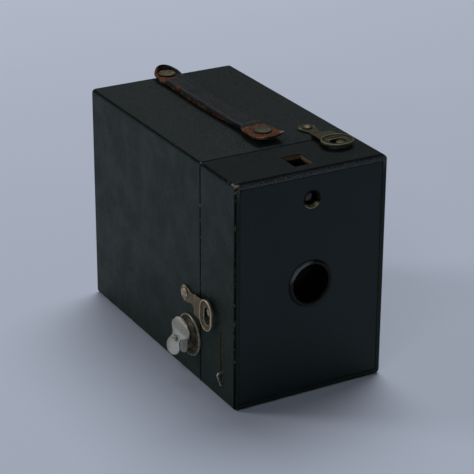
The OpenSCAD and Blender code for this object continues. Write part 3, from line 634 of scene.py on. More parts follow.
def key_cup():
    """Nickel left only on the proud rim; inside it is dark, tan and streaked."""
    mat = Material("nickel_cup")
    proud = mat.sub(mat.mul(mat.axis(0), -1.0), HALF_W * MM)
    ragged = mat.add(proud, mat.mul(mat.noise(700, detail=3), 0.0003))
    rim = mat.ramp(ragged, 0.00055, 0.00100)
    streak = mat.noise(900, detail=5, rough=0.65, at=mat.scaled(1, 0.35, 1), bend=0.8)
    inside = mat.mix(mat.ramp(streak, 0.35, 0.68), (0.065, 0.055, 0.032), (0.36, 0.31, 0.18))
    plate = mat.mix(mat.ramp(mat.noise(800, detail=4), 0.3, 0.7),
                    (0.20, 0.20, 0.155), (0.42, 0.42, 0.34))
    return mat.finish(
        Base_Color=mat.mix(rim, inside, plate),
        Metallic=mat.ramp(rim, 0, 1, low=0.45, high=0.9),
        Roughness=mat.add(mat.ramp(rim, 0, 1, low=0.62, high=0.38), mat.mul(streak, 0.1)),
        Specular_IOR_Level=0.25, Normal=mat.bump(streak, distance=0.00012, strength=0.5))


def eyelet_black():
    """Black enamel, with a painted highlight towards the upper left of the opening."""
    mat = Material("eyelet_black")
    above = mat.sub(mat.axis(2), LENS_Z * MM)
    reach = mat.add(mat.mul(mat.axis(0), -0.60), mat.mul(above, 0.80))
    in_front = mat.ramp(mat.axis(1), FRONT_Y * MM + 0.0003, FRONT_Y * MM - 0.0002)
    ragged = mat.add(reach, mat.mul(mat.noise(500, detail=3), 0.0012))
    # painted highlight: a pale crescent on the front of the lip at the upper left
    painted_highlight = mat.mul(mat.ramp(ragged, 0.0080, 0.0106), in_front)
    black = mat.mix(mat.noise(400, detail=3), (0.0014, 0.0018, 0.0020), (0.0040, 0.0046, 0.0050))
    return mat.finish(
        Base_Color=mat.mix(painted_highlight, black, (0.085, 0.092, 0.092)),
        Roughness=mat.ramp(painted_highlight, 0, 1, low=0.30, high=0.22),
        Specular_IOR_Level=mat.ramp(painted_highlight, 0, 1, low=0.16, high=0.7),
        Normal=mat.bump(mat.noise(1500, detail=3), distance=0.00002, strength=0.4))


LEATHERETTE, STRAP = leatherette(), strap_leather()
OLIVE = metal("brass_olive", (0.026, 0.024, 0.013), (0.056, 0.051, 0.029), (0.22, 0.21, 0.135),
              rough=(0.52, 0.70), tarnish=0.75)
# brighter on the proud parts of the side latch
WARM = metal("brass_warm", (0.118, 0.086, 0.043), (0.235, 0.176, 0.093), (0.66, 0.60, 0.46),
             rough=(0.40, 0.60), tarnish=0.65, seed=0.31,
             past=(0, -HALF_W - 2.70, -HALF_W - 3.05, (1.42, 1.38, 1.36)))
# brighter on the rear stud
STUD = metal("brass_stud", (0.040, 0.042, 0.028), (0.082, 0.083, 0.059), (0.22, 0.22, 0.17),
             rough=(0.50, 0.66), tarnish=0.6, seed=0.57, past=(1, 0.0, 20.0, (1.5, 1.25, 1.1)))
# darker on the top rivet
RIVETS = metal("brass_rivets", (0.36, 0.27, 0.18), (0.56, 0.45, 0.32), (0.80, 0.71, 0.56),
               rough=(0.36, 0.54), tarnish=0.3, seed=0.21,
               past=(2, TOP - 6.0, TOP - 3.0, (0.20, 0.205, 0.165)))
NICKEL = metal("nickel", (0.36, 0.345, 0.285), (0.56, 0.545, 0.46), (0.80, 0.78, 0.69),
               rough=(0.44, 0.60), tarnish=0.25, seed=0.77, grime=(0.12, 0.10, 0.06))
# painted shade: nearly black but for its lowest part, whose countersink faces up to the light
FERRULE_PAINTED_SHADE = metal("brass_ferrule_painted_shade", (0.150, 0.130, 0.062), (0.36, 0.33, 0.17), (0.60, 0.56, 0.32),
                rough=(0.34, 0.54), tarnish=0.35, seed=0.44, grime=(0.030, 0.024, 0.012),
                past=(2, FINDER_Z - 3.1, FINDER_Z - 1.5, (0.035, 0.030, 0.034)))
EYELET = eyelet_black()
slots = {
    "leatherette": LEATHERETTE, "strap_leather": STRAP, "brass_worn": OLIVE, "nickel": NICKEL,
    "case_board": card("case_board", (0.055, 0.038, 0.024), (0.125, 0.088, 0.056)),
    "front_wood": wood("front_wood", (0.125, 0.083, 0.045), (0.285, 0.200, 0.115),
                       stretch=(1, 0.06, 1), painted=True),
    "board_wood": wood("board_wood", (0.10, 0.050, 0.020), (0.26, 0.145, 0.066),
                       stretch=(1, 1, 0.06)),
    "panel_black": panel_black(),
    "black_metal": black_metal(),
    "brass_bright": metal(
        "brass_bright", (0.34, 0.215, 0.055), (0.60, 0.42, 0.135), (0.80, 0.62, 0.30),
        rough=(0.24, 0.42), tarnish=0.35, seed=0.9),
    "steel": metal("steel", (0.40, 0.39, 0.36), (0.60, 0.59, 0.55), (0.82, 0.82, 0.78),
                   rough=(0.24, 0.42), tarnish=0.3, seed=1.3),
    "felt": felt(),
    "ruby": ruby(),
    "clear_glass": clear_glass(),
    "mirror_silver": mirror(),
    "cone_card": card("cone_card", (0.006, 0.006, 0.006), (0.022, 0.021, 0.020), rough=0.92),
}
# nodes whose look differs from that of their slot
special = {
    "side_latch": WARM, "key_cup": key_cup(), "strap_studs": STUD, "latch_rivets": RIVETS,
    "latch_studs": RIVETS, "finder_lens": finder_lens(),
}

# ---------- carried-over parts: their vertices stay, modifiers round what is shown ----------

# bevel width of each rounded part
soft_edges = {
    "latch_studs": 0.12, "latch_rivets": 0.12, "key_cup": 0.10, "shutter_plate": 0.15,
    "shutter_disc": 0.10, "lens_board": 0.25, "carrier_side_boards": 0.30, "film_gate": 0.15,
    "lens_cell": 0.12, "take_up_flanges": 0.12, "supply_flanges": 0.12, "take_up_core": 0.25,
    "supply_core": 0.25, "spool_pins": 0.15, "red_window_ring": 0.12, "key_shaft": 0.12,
}
slot_of = {part["node"]: part["material_slot"] for part in frame["record"]["subparts"]}
for name, obj in frame["nodes"].items():
    obj.data.materials.clear()
    obj.data.materials.append(special.get(name, slots[slot_of[name]]))
    obj.modifiers.new("weld", "WELD").merge_threshold = 1e-6
    if name in soft_edges:
        bevel(obj, soft_edges[name]).use_clamp_overlap = True
    obj.modifiers.new("split", "EDGE_SPLIT").split_angle = math.radians(38)
    obj.modifiers.new("normals", "WEIGHTED_NORMAL").weight = 60


# ---------- leatherette skins ----------

ARC_STEPS, WIDE_STEPS, TALL_STEPS = 8, 14, 20  # round a corner, across, up


def box_ring(inset, y):
    """Rounded rectangle, counter-clockwise from the lower right corner."""
    r = max(CORNER_R - inset, 0.5)
    x1, z0, z1 = HALF_W - inset, inset, TOP - inset
    pts = []
    corners = [(x1 - r, z0 + r, -90), (x1 - r, z1 - r, 0), (-x1 + r, z1 - r, 90),
               (-x1 + r, z0 + r, 180)]
    for i, (mid_x, mid_z, turn) in enumerate(corners):
        for k in range(ARC_STEPS + 1):
            a = math.radians(turn + 90 * k / ARC_STEPS)
            pts.append((mid_x + r * math.cos(a), y, mid_z + r * math.sin(a)))
        next_x, next_z, next_turn = corners[(i + 1) % 4]
        a = math.radians(next_turn)
        end_x, end_z = next_x + r * math.cos(a), next_z + r * math.sin(a)
        x, _, z = pts[-1]
        count = WIDE_STEPS if i % 2 else TALL_STEPS
        for k in range(1, count):
            t = k / count
            pts.append((x + (end_x - x) * t, y, z + (end_z - z) * t))
    return pts


def uneven(ring, most=0.025):
    """Inward unevenness of glued cloth, never beyond the outer surface."""
    out = []
    for x, y, z in ring:
        wave = wobble(x, y, z, 30) * 1.4 + 0.25 * wobble(x, y, z, 9, 3.1)
        d = most * (0.5 + 0.5 * clamp(wave, -1, 1))
        side = -math.copysign(1, x) if HALF_W - abs(x) < 0.6 else 0
        level = 1 if z < 0.6 else -1 if TOP - z < 0.6 else 0
        out.append((x + side * d, y, z + level * d))
    return out


def skin_rings(path):
    """Rings along a path of (inset, y, whether the cloth is uneven there)."""
    return [uneven(box_ring(inset, y)) if free else box_ring(inset, y)
            for inset, y, free in path]


def between(start, end, size):
    """Uneven-cloth stations between start and end, about size apart."""
    n = max(1, round(abs(end - start) / size))
    return [(0, start + (end - start) * k / n, 1) for k in range(1, n)]


quarter = [k * math.pi / 10 for k in range(6)]

# rear skin: inner side forward to the seam, outer side back to a groove in the back face
seam_y = SEAM + HALF_GAP
inner_r = BACK_R - CLOTH
path = [(8.0, BACK_Y - CLOTH, 0), (BACK_R, BACK_Y - CLOTH, 0)]
path += [(BACK_R - inner_r * math.sin(a), BACK_Y - BACK_R + inner_r * math.cos(a), 0)
         for a in quarter[1:]]
path += [(CLOTH, seam_y + SEAM_R, 0)]
path += [(SEAM_R - SEAM_R * math.sin(a), seam_y + SEAM_R - SEAM_R * math.cos(a), 0)
         for a in quarter]
path += [(0, seam_y + d, 1) for d in (0.9, 1.6, 3.0)]
path += between(seam_y + 3, BACK_Y - 5, 3.5)
path += [(0, BACK_Y - 5, 1), (0, BACK_Y - 3, 1)]
path += [(BACK_R - BACK_R * math.cos(a), BACK_Y - BACK_R + BACK_R * math.sin(a), 0)
         for a in quarter]
# inset, depth below the back face
path += [(inset, BACK_Y - depth, 0) for inset, depth in (
    (3.4, 0), (5.2, 0), (5.5, 0.04), (5.62, 0.20), (5.95, 0.20), (6.1, 0.05), (8.0, 0.03))]
rear_skin = build("rear_leatherette", loft(skin_rings(path)), "case", LEATHERETTE,
                  "rear_covering")
KEY_HOLE_R, WINDOW_HOLE_R = 9.05, 5.65
cut(rear_skin, rod((-HALF_W - 2, KEY.y, KEY.z), (-HALF_W + 3, KEY.y, KEY.z), KEY_HOLE_R))
ring_lo, ring_hi = mm_box("red_window_ring")
window_z = (ring_lo.z + ring_hi.z) / 2
cut(rear_skin, rod((0, BACK_Y - 3, window_z), (0, BACK_Y + 2, window_z), WINDOW_HOLE_R))

# front skin: inner side forward, turned over the front edge, outer side back to the seam
seam_y = SEAM - HALF_GAP
inner_r = FACE_R - CLOTH
path = [(CLOTH, seam_y - SEAM_R, 0), (CLOTH, FRONT_Y + FACE_R, 0)]
path += [(FACE_R - inner_r * math.cos(a), FRONT_Y + FACE_R - inner_r * math.sin(a), 0)
         for a in quarter[1:]]
# inset, depth behind the front face
path += [(inset, FRONT_Y + depth, 0) for inset, depth in (
    (BORDER - 0.1, CLOTH), (BORDER, 0.28), (BORDER - 0.02, 0.12), (BORDER - 0.14, 0.02),
    (BORDER - 0.4, 0), (BORDER - 0.7, 0), (1.5, 0))]
path += [(FACE_R - FACE_R * math.sin(a), FRONT_Y + FACE_R - FACE_R * math.cos(a), 0)
         for a in quarter]
path += [(0, FRONT_Y + 2.0, 1), (0, FRONT_Y + 3.2, 1)]
path += between(FRONT_Y + 3.2, seam_y - 1.6, 3.2)
path += [(0, seam_y - 1.6, 1), (0, seam_y - 0.9, 1)]
path += [(SEAM_R - SEAM_R * math.cos(a), seam_y - SEAM_R + SEAM_R * math.sin(a), 0)
         for a in quarter]
rings = skin_rings(path)
# the mitre where the cloth folds over each corner is pressed in a little
lower_right = ARC_STEPS // 2
upper_right = lower_right + ARC_STEPS + TALL_STEPS
upper_left = upper_right + ARC_STEPS + WIDE_STEPS
lower_left = upper_left + ARC_STEPS + TALL_STEPS
for ring, (inset, y, _) in zip(rings, path):
    if inset > FACE_R and abs(y - FRONT_Y) < 0.15:
        for k in (lower_right, upper_right, upper_left, lower_left):
            x, ring_y, z = ring[k]
            ring[k] = (x, ring_y + 0.07, z)
front_skin = build("front_leatherette", loft(rings, closed=True), "front", LEATHERETTE,
                   "front_covering")
# opening over the finder glass, then the slot for the lever
OPENING_PLAY = 0.15
glass_lo, glass_hi = mm_box("finder_glass")
half = glass_hi.x - 1.1 + OPENING_PLAY
cut(front_skin, block(-half, half, glass_lo.y + 1.6 - OPENING_PLAY,
                      glass_hi.y - 0.6 + OPENING_PLAY, TOP - 3, TOP + 2))
LEVER_PLAY, SLOT_LOW, SLOT_HIGH = 0.55, 6.55, 35.05
lever_lo, lever_hi = mm_box("shutter_lever")
cut(front_skin, block(-HALF_W - 2, -HALF_W + 2, lever_lo.y - LEVER_PLAY,
                      lever_hi.y + LEVER_PLAY, SLOT_LOW, SLOT_HIGH))


def painted_edge_shade_rule(x, y, z):
    """Painted shade on the rounded edges; also darkened along the seam and in a line across the top just behind
    its front edge.
    """
    side, level, end = HALF_W - abs(x), min(z, TOP - z), min(y - FRONT_Y, BACK_Y - y)
    dark = max(fade(math.hypot(side, level), 0.6, 1.7), fade(math.hypot(side, end), 0.5, 1.3))
    if TOP - z < 1.2 and y < FRONT_Y + 3.5 and abs(x) < HALF_W - 0.8:
        dark = max(dark, 0.92 * fade(abs(y - FRONT_Y - 1.35), 0.5, 1.15))
    return max(dark, fade(abs(y - SEAM), 0.35, 0.75))


def shade_rule(x, y, z):
    """Painted shade on the tops: most on the front section's top, on the rear top more to the right."""
    if TOP - z > 1.5:
        return 0.0
    return max(0.72 * fade(y, SEAM - 1.0, SEAM), 0.34 + 0.16 * smooth(x, -16, 10))


def border_rule(x, y, z):
    """The strip turned over on to the front along the top."""
    depth = TOP - z
    return fade(y - FRONT_Y, 0.5, 1.1) * fade(depth, BORDER, BORDER + 0.4) * smooth(depth, 0.3, 0.9)


# small rubbed places on the top: x, y, radius
rubs = [(3.0, SEAM - 0.5, 3.4), (-12.0, SEAM - 1.0, 2.0), (19.5, SEAM - 8.0, 1.6),
        (8.0, SEAM - 0.2, 2.2)]


def rub_rule(x, y, z):
    if TOP - z > 1:
        return 0.0
    return max(fade(math.hypot(x - mid_x, (y - mid_y) * 1.6), 0.3 * r, r)
               for mid_x, mid_y, r in rubs)


def wear_rule(x, y, z):
    """Wear along edges, the seam and the corners, each as strength times nearness."""
    left, right, top = x + HALF_W, HALF_W - x, TOP - z
    front, seam = y - FRONT_Y, y - SEAM
    nearest = sorted((HALF_W - abs(x), min(z, top), min(front, BACK_Y - y)))
    worn = [
        0.72 * fade(math.hypot(left, front), 0.2, 1.3),
        0.36 * fade(math.hypot(top, front), 0.3, 1.6),
        0.20 * fade(math.hypot(*nearest[:2]), 0.3, 1.7),
        0.50 * fade(abs(seam), 0.3, 1.2) * (0.4 + 0.6 * fade(left, 0, 10)),
        1.15 * fade(math.hypot(left, top, front), 0.9, 3.5),
        0.8 * fade(math.hypot(right, top, front), 0.6, 3.4),
        1.15 * fade(math.hypot(left, top, seam), 0.6, 2.2),
        0.8 * fade(math.hypot(left, z, front), 0.6, 3.4),
    ]
    if front < 32:
        strength = 0.66 + 0.35 * fade(front, 2, 12) + 0.15 * fade(front, 1, 6)
        worn.append(strength * fade(math.hypot(left, top), 0.3, 2.2))
    return max(worn)


for obj in (rear_skin, front_skin):
    attribute(obj, "edge", painted_edge_shade_rule)
    attribute(obj, "wear", wear_rule)
    attribute(obj, "border", border_rule)
    attribute(obj, "rub", rub_rule)
    attribute(obj, "shade", shade_rule)


# ---------- front plate ----------

plate_lo, plate_hi = mm_box("front_panel")
PLATE_PLAY, PLATE_CORNER_R = 0.06, 1.6
OPEN_R = (bezel_hi.x - bezel_lo.x) / 2 - 1.4
FERRULE_R = (finder_hi.x - finder_lo.x) / 2
FINDER_HOLE_R = 4.42
plate_half = plate_hi.x - PLATE_PLAY
plate_up = plate_hi.z - PLATE_PLAY - LENS_Z
plate_down = LENS_Z - (plate_lo.z + PLATE_PLAY)


def plate_edge(a, shrink):
    """Where a ray at angle a from the lens axis meets the plate's rounded outline."""
    over, rise = math.cos(a), math.sin(a)
    wide = plate_half - shrink
    tall = (plate_up if rise > 0 else plate_down) - shrink
    reach = min(wide / max(abs(over), 1e-9), tall / max(abs(rise), 1e-9))
    r = PLATE_CORNER_R - shrink
    if abs(over * reach) > wide - r and abs(rise * reach) > tall - r:
        centre = Vector((wide - r, tall - r))
        along = Vector((abs(over), abs(rise))).dot(centre)
        beyond = centre.length_squared - r * r
        reach = along + math.sqrt(max(along * along - beyond, 0))
    return over * reach, rise * reach


# even rays, and extra ones into the corners
angles = {2 * math.pi * k / 180 for k in range(180)}
for in_x in (0.8, 0.2):
    for in_z in (0.2, 0.8):
        for x in (in_x - plate_half, plate_half - in_x):
            for z in (plate_up - in_z, in_z - plate_down):
                angles.add(math.atan2(z, x) % (2 * math.pi))
angles = sorted(angles)
plate_front, plate_back = plate_lo.y, plate_hi.y
# y, share of the way from the lens hole to the outline, shrink of the outline
plate_levels = [
    (plate_back, 0, 0), (plate_back, 1, 0.0), (plate_front + 0.22, 1, 0.0),
    (plate_front + 0.06, 1, 0.06), (plate_front, 1, 0.22), (plate_front, 1, 0.9),
    (plate_front, 0.66, 0.9), (plate_front, 0.33, 0.9), (plate_front, 0.08, 0.9),
    (plate_front, 0, 0.9),
]
lens_hole_r = OPEN_R + 0.55
rings = []
for y, share, shrink in plate_levels:
    ring = []
    for a in angles:
        x, z = plate_edge(a, shrink)
        hole_x, hole_z = lens_hole_r * math.cos(a), lens_hole_r * math.sin(a)
        ring.append((hole_x + (x - hole_x) * share, y, LENS_Z + hole_z + (z - hole_z) * share))
    rings.append(ring)
front_plate = build("front_plate", loft(rings, closed=True), "front", slots["panel_black"],
                    "front_panel")
cut(front_plate, rod((0, FRONT_Y - 2, FINDER_Z), (0, FRONT_Y + 3, FINDER_Z), FINDER_HOLE_R))


# ---------- lens eyelet and finder ferrule ----------

def turned_ring(name, profile, z, material, node, steps=128):
    """Ring about the Y axis through (0, z), from (radius, depth behind the front face)."""
    turns = [2 * math.pi * k / steps for k in range(steps)]
    rings = [[(r * math.cos(a), FRONT_Y + depth, z + r * math.sin(a)) for a in turns]
             for r, depth in profile]
    build(name, loft(rings, closed=True), "front", material, node)


rolled_lip = [(10.30 + 1.05 * math.cos(math.radians(a)), 0.10 - 0.62 * math.sin(math.radians(a)))
              for a in range(0, 181, 15)]
tube_end = bezel_hi.y - FRONT_Y
turned_ring("lens_eyelet", [(11.35, 0.2)] + rolled_lip + [
    (OPEN_R - 0.08, 0.35), (OPEN_R - 0.1, 1.2), (OPEN_R - 0.1, tube_end - 0.2),
    (OPEN_R + 0.05, tube_end), (OPEN_R + 0.45, tube_end), (OPEN_R + 0.45, 0.25),
], LENS_Z, EYELET, "lens_bezel")
ferrule_end = finder_hi.y - FRONT_Y
turned_ring("finder_ferrule", [
    (FERRULE_R - 0.02, 0.5), (FERRULE_R - 0.02, 0.10), (FERRULE_R - 0.12, -0.02),
    (FERRULE_R - 0.30, 0.02), (FERRULE_R - 0.5, 0.25), (3.35, 0.95), (3.1, 1.15), (3.0, 1.3),
    (3.05, 1.5), (3.62, 1.52), (3.62, ferrule_end), (FERRULE_R - 0.02, ferrule_end),
], FINDER_Z, FERRULE_PAINTED_SHADE, "finder_lens_mount")


# ---------- shutter release lever: the tip outside the slot is a thin hook ----------

lever_node = frame["nodes"]["shutter_lever"]
mesh = lever_node.data.copy()
mesh.transform(lever_node.matrix_world)
clean(mesh, merge=1e-6, outward=False)
lever = add_object("release_lever", mesh)
mesh.materials.clear()
mesh.materials.append(slots["steel"])
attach(lever, "shutter_lever")
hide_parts("shutter_lever")
pivot = joint_at("shutter_lever_swing")
# what is cut away, as (x, z) from the pivot
hook_cut = [(-25.0, -7.9), (-26.95, -8.30), (-27.25, -8.85), (-26.0, -12.3), (-25.0, -12.3)]
cut(lever, loft([[(pivot.x + x, y, pivot.z + z) for x, z in hook_cut]
                 for y in (lever_lo.y - 1, lever_hi.y + 1)]))
bevel(lever, 0.18)


# ---------- strap ----------

stud_lo, stud_hi = mm_box("strap_studs")
STUD_R = (stud_hi.x - stud_lo.x) / 2
FRONT_STUD, REAR_STUD = stud_lo.y + STUD_R, stud_hi.y - STUD_R
STRAP_START = mm_box("strap")[0].y
STUD_S = REAR_STUD - STRAP_START  # the rear stud, along the strap
THIN, PADDED = 1.5, 3.75          # thickness of the ends and of the padded middle
TAB = 10.2                        # the strap beyond the rear stud, before it is bent up
TAB_HALF = 7.5
BEND_RUN = 14                     # finer stations start this far before the rear stud
HOLE_R = 2.0

# y, height of the underside over the top
rise = [
    (STRAP_START, 2.9), (FRONT_STUD - 4.8, 2.36), (FRONT_STUD, 2.25), (FRONT_STUD + 4, 2.20),
    (FRONT_STUD + 8, 1.75), (FRONT_STUD + 12, 0.95), (FRONT_STUD + 18, 0.40),
    (FRONT_STUD + 30, 0.16), (REAR_STUD - 38, 0.16), (REAR_STUD - 22, 0.20),
    (REAR_STUD - 12, 0.55), (REAR_STUD - 6, 0.95), (REAR_STUD, 1.08), (REAR_STUD + 4.2, 1.10),
]
# distance from the front end, half width
half_widths = [
    (0, 6.7), (1.2, 7.1), (8.0, 7.25), (14, 7.0), (17.0, 6.35), (20, 6.0), (STUD_S - 23, 6.0),
    (STUD_S - 13, 6.2), (STUD_S - 8, 6.6), (STUD_S - 3, 7.3), (STUD_S, TAB_HALF),
]
bend_y = REAR_STUD - BEND_RUN
spine = [STRAP_START + (bend_y - STRAP_START) * k / 150 for k in range(150)]
spine += [bend_y + (BEND_RUN + TAB) * k / 84 for k in range(85)]
STRAP_LONG = spine[-1] - STRAP_START


def strap_half(s):
    """Half width at distance s from the front end."""
    width = curve(half_widths, s)
    if s < 1.0:
        width -= 1.6 * (1 - s) ** 2
    if s > STUD_S:
        width = TAB_HALF * (1 - clamp((s - STUD_S) / (TAB + 0.03)) ** 2.2) ** (1 / 2.1)
    return max(width, 0.5)


def padding(s):
    front = s - (FRONT_STUD - STRAP_START)
    return smooth(front, 8.2, 11.5) * smooth(STUD_S - s, 8.8, 12.5)


def bowl(x, y, height):
    """Bends the rear tab up round its stud. height is over the underside."""
    start, radius = 4.7, 1.75
    past = y - REAR_STUD
    far = math.hypot(x, past) if past > 0 else abs(x)
    give = smooth(past, -8.0, 0.5)
    if far <= start or give < 0.02:
        return x, y, height
    a = min((far - start) * give / radius, math.radians(84))
    rest = far - start - a * radius / give
    out = start + radius / give * math.sin(a) + rest * math.cos(a) - height * math.sin(a)
    up = radius / give * (1 - math.cos(a)) + rest * math.sin(a) + height * math.cos(a)
    pull = out / far
    return x * pull, (REAR_STUD + past * pull) if past > 0 else y, up


def strap_ring(y):
    """Section of the strap at y."""
    s = y - STRAP_START
    half, pad, base = strap_half(s), padding(s), TOP + curve(rise, y)
    skived = (0.62 + 0.38 * smooth(s, 0, 2.5)) * (0.55 + 0.45 * smooth(STRAP_LONG - s, 0.0, 4.0))
    tall = THIN * skived * (1 - pad) + PADDED * pad
    power = 6 - 2.2 * pad
    lip = 0.55 * fade(s, 0.5, 9)
    sway = 0.25 * wobble(0, y, 5, 24, 6.1) - 0.9 * bell(y, 22, 20)
    ring = []
    for u, sign in section:
        side = abs(u)
        v = sign * max(1 - side ** power, 0) ** (1 / power)
        height = tall / 2 * (1 + v)
        if v > 0:
            # shoulder, stitched-down line, hollow middle and creases
            height += v * pad * (
                0.30 * bell(side, 0.80, 0.10) - 0.30 * bell(side, 0.62, 0.05)
                - 0.12 * fade(side, 0.2, 0.6) + 0.16 * wobble(u * half, y, 0, 7.0, 1.7)
                + 0.07 * wobble(u * half, y, 0, 2.2, 4.4))
            height += v * (1 - pad) * 0.10 * wobble(u * half, y, 0, 2.6, 2.9)
        height += lip * side ** 2.2
        # the front tab's right corner turns up, its left corner down
        height += (0.55 * max(u, 0) ** 2 - 0.35 * min(u, 0) ** 2) * fade(s, 0.5, 7)
        x = u * half * (1 - 0.05 * pad * (1 - v) / 2) + sway * pad
        if u > 0:
            x *= 1 + 0.13 * smooth(y, REAR_STUD - 6, REAR_STUD)
        x, bent_y, height = bowl(x, y, height)
        ring.append((x, bent_y, base + height))
    return ring


# section as (place across from -1 to 1, upper or lower side)
across = [0, 0.11, 0.22, 0.33, 0.44, 0.55, 0.65, 0.74, 0.82, 0.88, 0.93, 0.963, 0.983, 0.995, 1.0]
section = [(u, 1) for u in [-v for v in reversed(across[1:])] + across]
section += [(u, -1) for u, _ in reversed(section[1:-1])]
strap = build("strap_leather_band", loft([strap_ring(y) for y in spine]), "case", STRAP,
              "strap")
for y in (FRONT_STUD, REAR_STUD):
    cut(strap, lifted(lathe([(HOLE_R, -1), (HOLE_R, 9)], 40), y, TOP))


def strap_at(x, y):
    """Padding at y, and how far x is towards the strap's side."""
    s = clamp(y - STRAP_START, 0, STRAP_LONG)
    return padding(s), abs(x) / strap_half(s)


def strap_bare(x, y, z):
    """Where the black has worn off to brown."""
    pad, side = strap_at(x, y)
    height, front = z - TOP, y - FRONT_STUD
    bare = [
        (1 - pad) * 0.98 * fade(front, 9, 11),
        # the bowl round the rear stud is brown inside and dark on its rim
        (1 - pad) * smooth(y, REAR_STUD - 12, REAR_STUD - 8)
        * (0.45 + 0.35 * smooth(-x, -2, 6)) * fade(height, 4.4, 5.6),
        0.95 * fade(math.hypot(x + 5.8, (y - (REAR_STUD - 22)) * 0.6), 0.5, 2.0),
    ]
    if x < 0:
        bare.append(pad * smooth(side, 0.955, 0.99) * fade(height, 2.3, 3.1)
                    * (0.76 + 0.22 * fade(front, 12, 46)))
    return max(bare)


def painted_shoulder_highlight_rule(x, y, z):
    """Painted highlight on the raised line along each side of the padding, stronger on the left, towards the
    light.
    """
    pad, side = strap_at(x, y)
    ridge = bell(side, 0.86, 0.06) if z - TOP > PADDED * 0.6 else 0.0
    return pad * ridge * (1.0 if x < 0 else 0.35)


def strap_edge(x, y, z):
    """Paler: the sides a little, the front tab's right corner and a spot in its end more."""
    _, side = strap_at(x, y)
    return max(smooth(side, 0.85, 1.0),
               3.0 * fade(math.hypot(x - 6.6, y - STRAP_START - 1.2), 0.6, 2.4),
               3.2 * fade(math.hypot(x + 4.6, y - STRAP_START - 0.3), 0.3, 1.5))


attribute(strap, "bare", strap_bare)
attribute(strap, "shoulder", painted_shoulder_highlight_rule)
attribute(strap, "edge", strap_edge)

# domed studs with a spun rim, each on a post
post_low = stud_lo.z - TOP
studs = []
for y, under in ((FRONT_STUD, 4.05), (REAR_STUD, 2.85)):
    head = rounded([
        (1.6, post_low), (1.6, under), (STUD_R - 0.12, under + 0.05), (STUD_R, under + 0.34),
        (STUD_R - 0.45, under + 0.70), (STUD_R - 1.1, under + 0.80), (STUD_R - 1.6, under + 0.86),
        (1.5, under + 1.04), (0.02, under + 1.10)], 0.22, closed=False)
    studs.append(lifted(lathe([(0.02, post_low)] + head), y, TOP))
build("strap_stud_heads", joined(studs), "case", STUD, "strap_studs")


# ---------- ring latches: rivet at the origin, ring towards -Y ----------

STRIP = 0.7      # sheet thickness
ARM_LOW = 0.2    # underside of the arm at the rivet
RING_LIFT = 1.8  # underside of the ring
RIVET_HOLE_R = 1.55


def latch_arm(end_r):
    """Strip with a round end of radius end_r. It stops inside the ring's web."""
    # y, half width
    halves = [
        (-20.4, 6.0), (-17.8, 5.6), (-15.4, 5.3), (-13.4, 5.2), (-11.8, 5.0), (-10.2, 4.3),
        (-8.4, 3.3), (-6.6, 2.75), (-5.0, 2.95), (-3.6, 3.55), (-2.2, 0.89 * end_r),
        (-1.0, 0.96 * end_r), (0.6, 0.985 * end_r),
    ]
    stations = [end_r * q for q in (0.994, 0.97, 0.925, 0.86, 0.76, 0.63, 0.48, 0.30, 0.14)]
    rings = []
    for y in stations + [-0.4 * k for k in range(52)]:
        half = math.sqrt(max(end_r ** 2 - y * y, 0.05)) if y > 0.5 else curve(halves, y)
        z = ARM_LOW + (RING_LIFT - ARM_LOW) * smooth(-y, 7.6, 13.4)
        bar = [(-half, z), (half, z), (half, z + STRIP), (-half, z + STRIP)]
        rings.append([(x, y, up) for x, up in rounded(bar, 0.2)])
    return loft(rings)


def stadium_edge(over, rise, width, length):
    """Distance from a stadium's centre to its edge, in the direction (over, rise)."""
    gap, r = (width - length) / 2, length / 2
    if abs(rise) * 1e9 < 1:
        return gap + r
    straight = r / abs(rise)
    if abs(over) * straight <= gap:
        return straight
    return gap * abs(over) + math.sqrt(max(r * r - (gap * rise) ** 2, 0))


def latch_ring(reach, ring_size, eye_size, eye_dx, steps=96):
    """Dished ring whose eye lies eye_dx off its centre."""
    # share of the way from eye to rim, height: up over the web and rim, back underneath
    profile = [
        (0.00, 0.10), (0.00, STRIP * 0.6), (0.05, STRIP * 0.8), (0.12, STRIP * 0.85),
        (0.20, STRIP * 0.80), (0.34, STRIP - 0.16), (0.50, STRIP - 0.14), (0.64, STRIP - 0.08),
        (0.74, STRIP + 0.10), (0.81, STRIP + 0.50), (0.87, STRIP + 0.74), (0.94, STRIP + 0.66),
        (1.00, STRIP + 0.25), (1.00, 0.22), (0.96, 0.04), (0.86, 0.00), (0.62, 0.00),
        (0.40, 0.0), (0.18, 0.0), (0.06, 0.02),
    ]
    rings = []
    for k in range(steps):
        a = 2 * math.pi * k / steps
        over, rise = math.cos(a), math.sin(a)
        inner = stadium_edge(over, rise, *eye_size)
        outer = stadium_edge(over, rise, *ring_size)
        ring = []
        for share, height in profile:
            d = inner + (outer - inner) * share
            ring.append((over * d + eye_dx * (1 - share), -reach + rise * d, RING_LIFT + height))
        rings.append(ring)
    return loft(rings, closed=True)


def latch(name, body, material, place, reach, ring_size, eye_size, eye_dx, end_r):
    ring = latch_ring(reach, ring_size, eye_size, eye_dx)
    obj = build(name, ring, body, material, body, place)
    arm = build(name + "_arm", latch_arm(end_r), body, material, place=place)
    boolean(obj, arm, "UNION")
    cut(obj, placed(lathe([(RIVET_HOLE_R, -1), (RIVET_HOLE_R, 4)], 48), place))
    shade_smooth(obj.data)


def turned(point, base, angle):
    turn = Matrix.Rotation(math.radians(angle), 4, "Z")
    return Matrix.Translation(point * MM) @ base @ turn


on_top = Matrix.Identity(4)
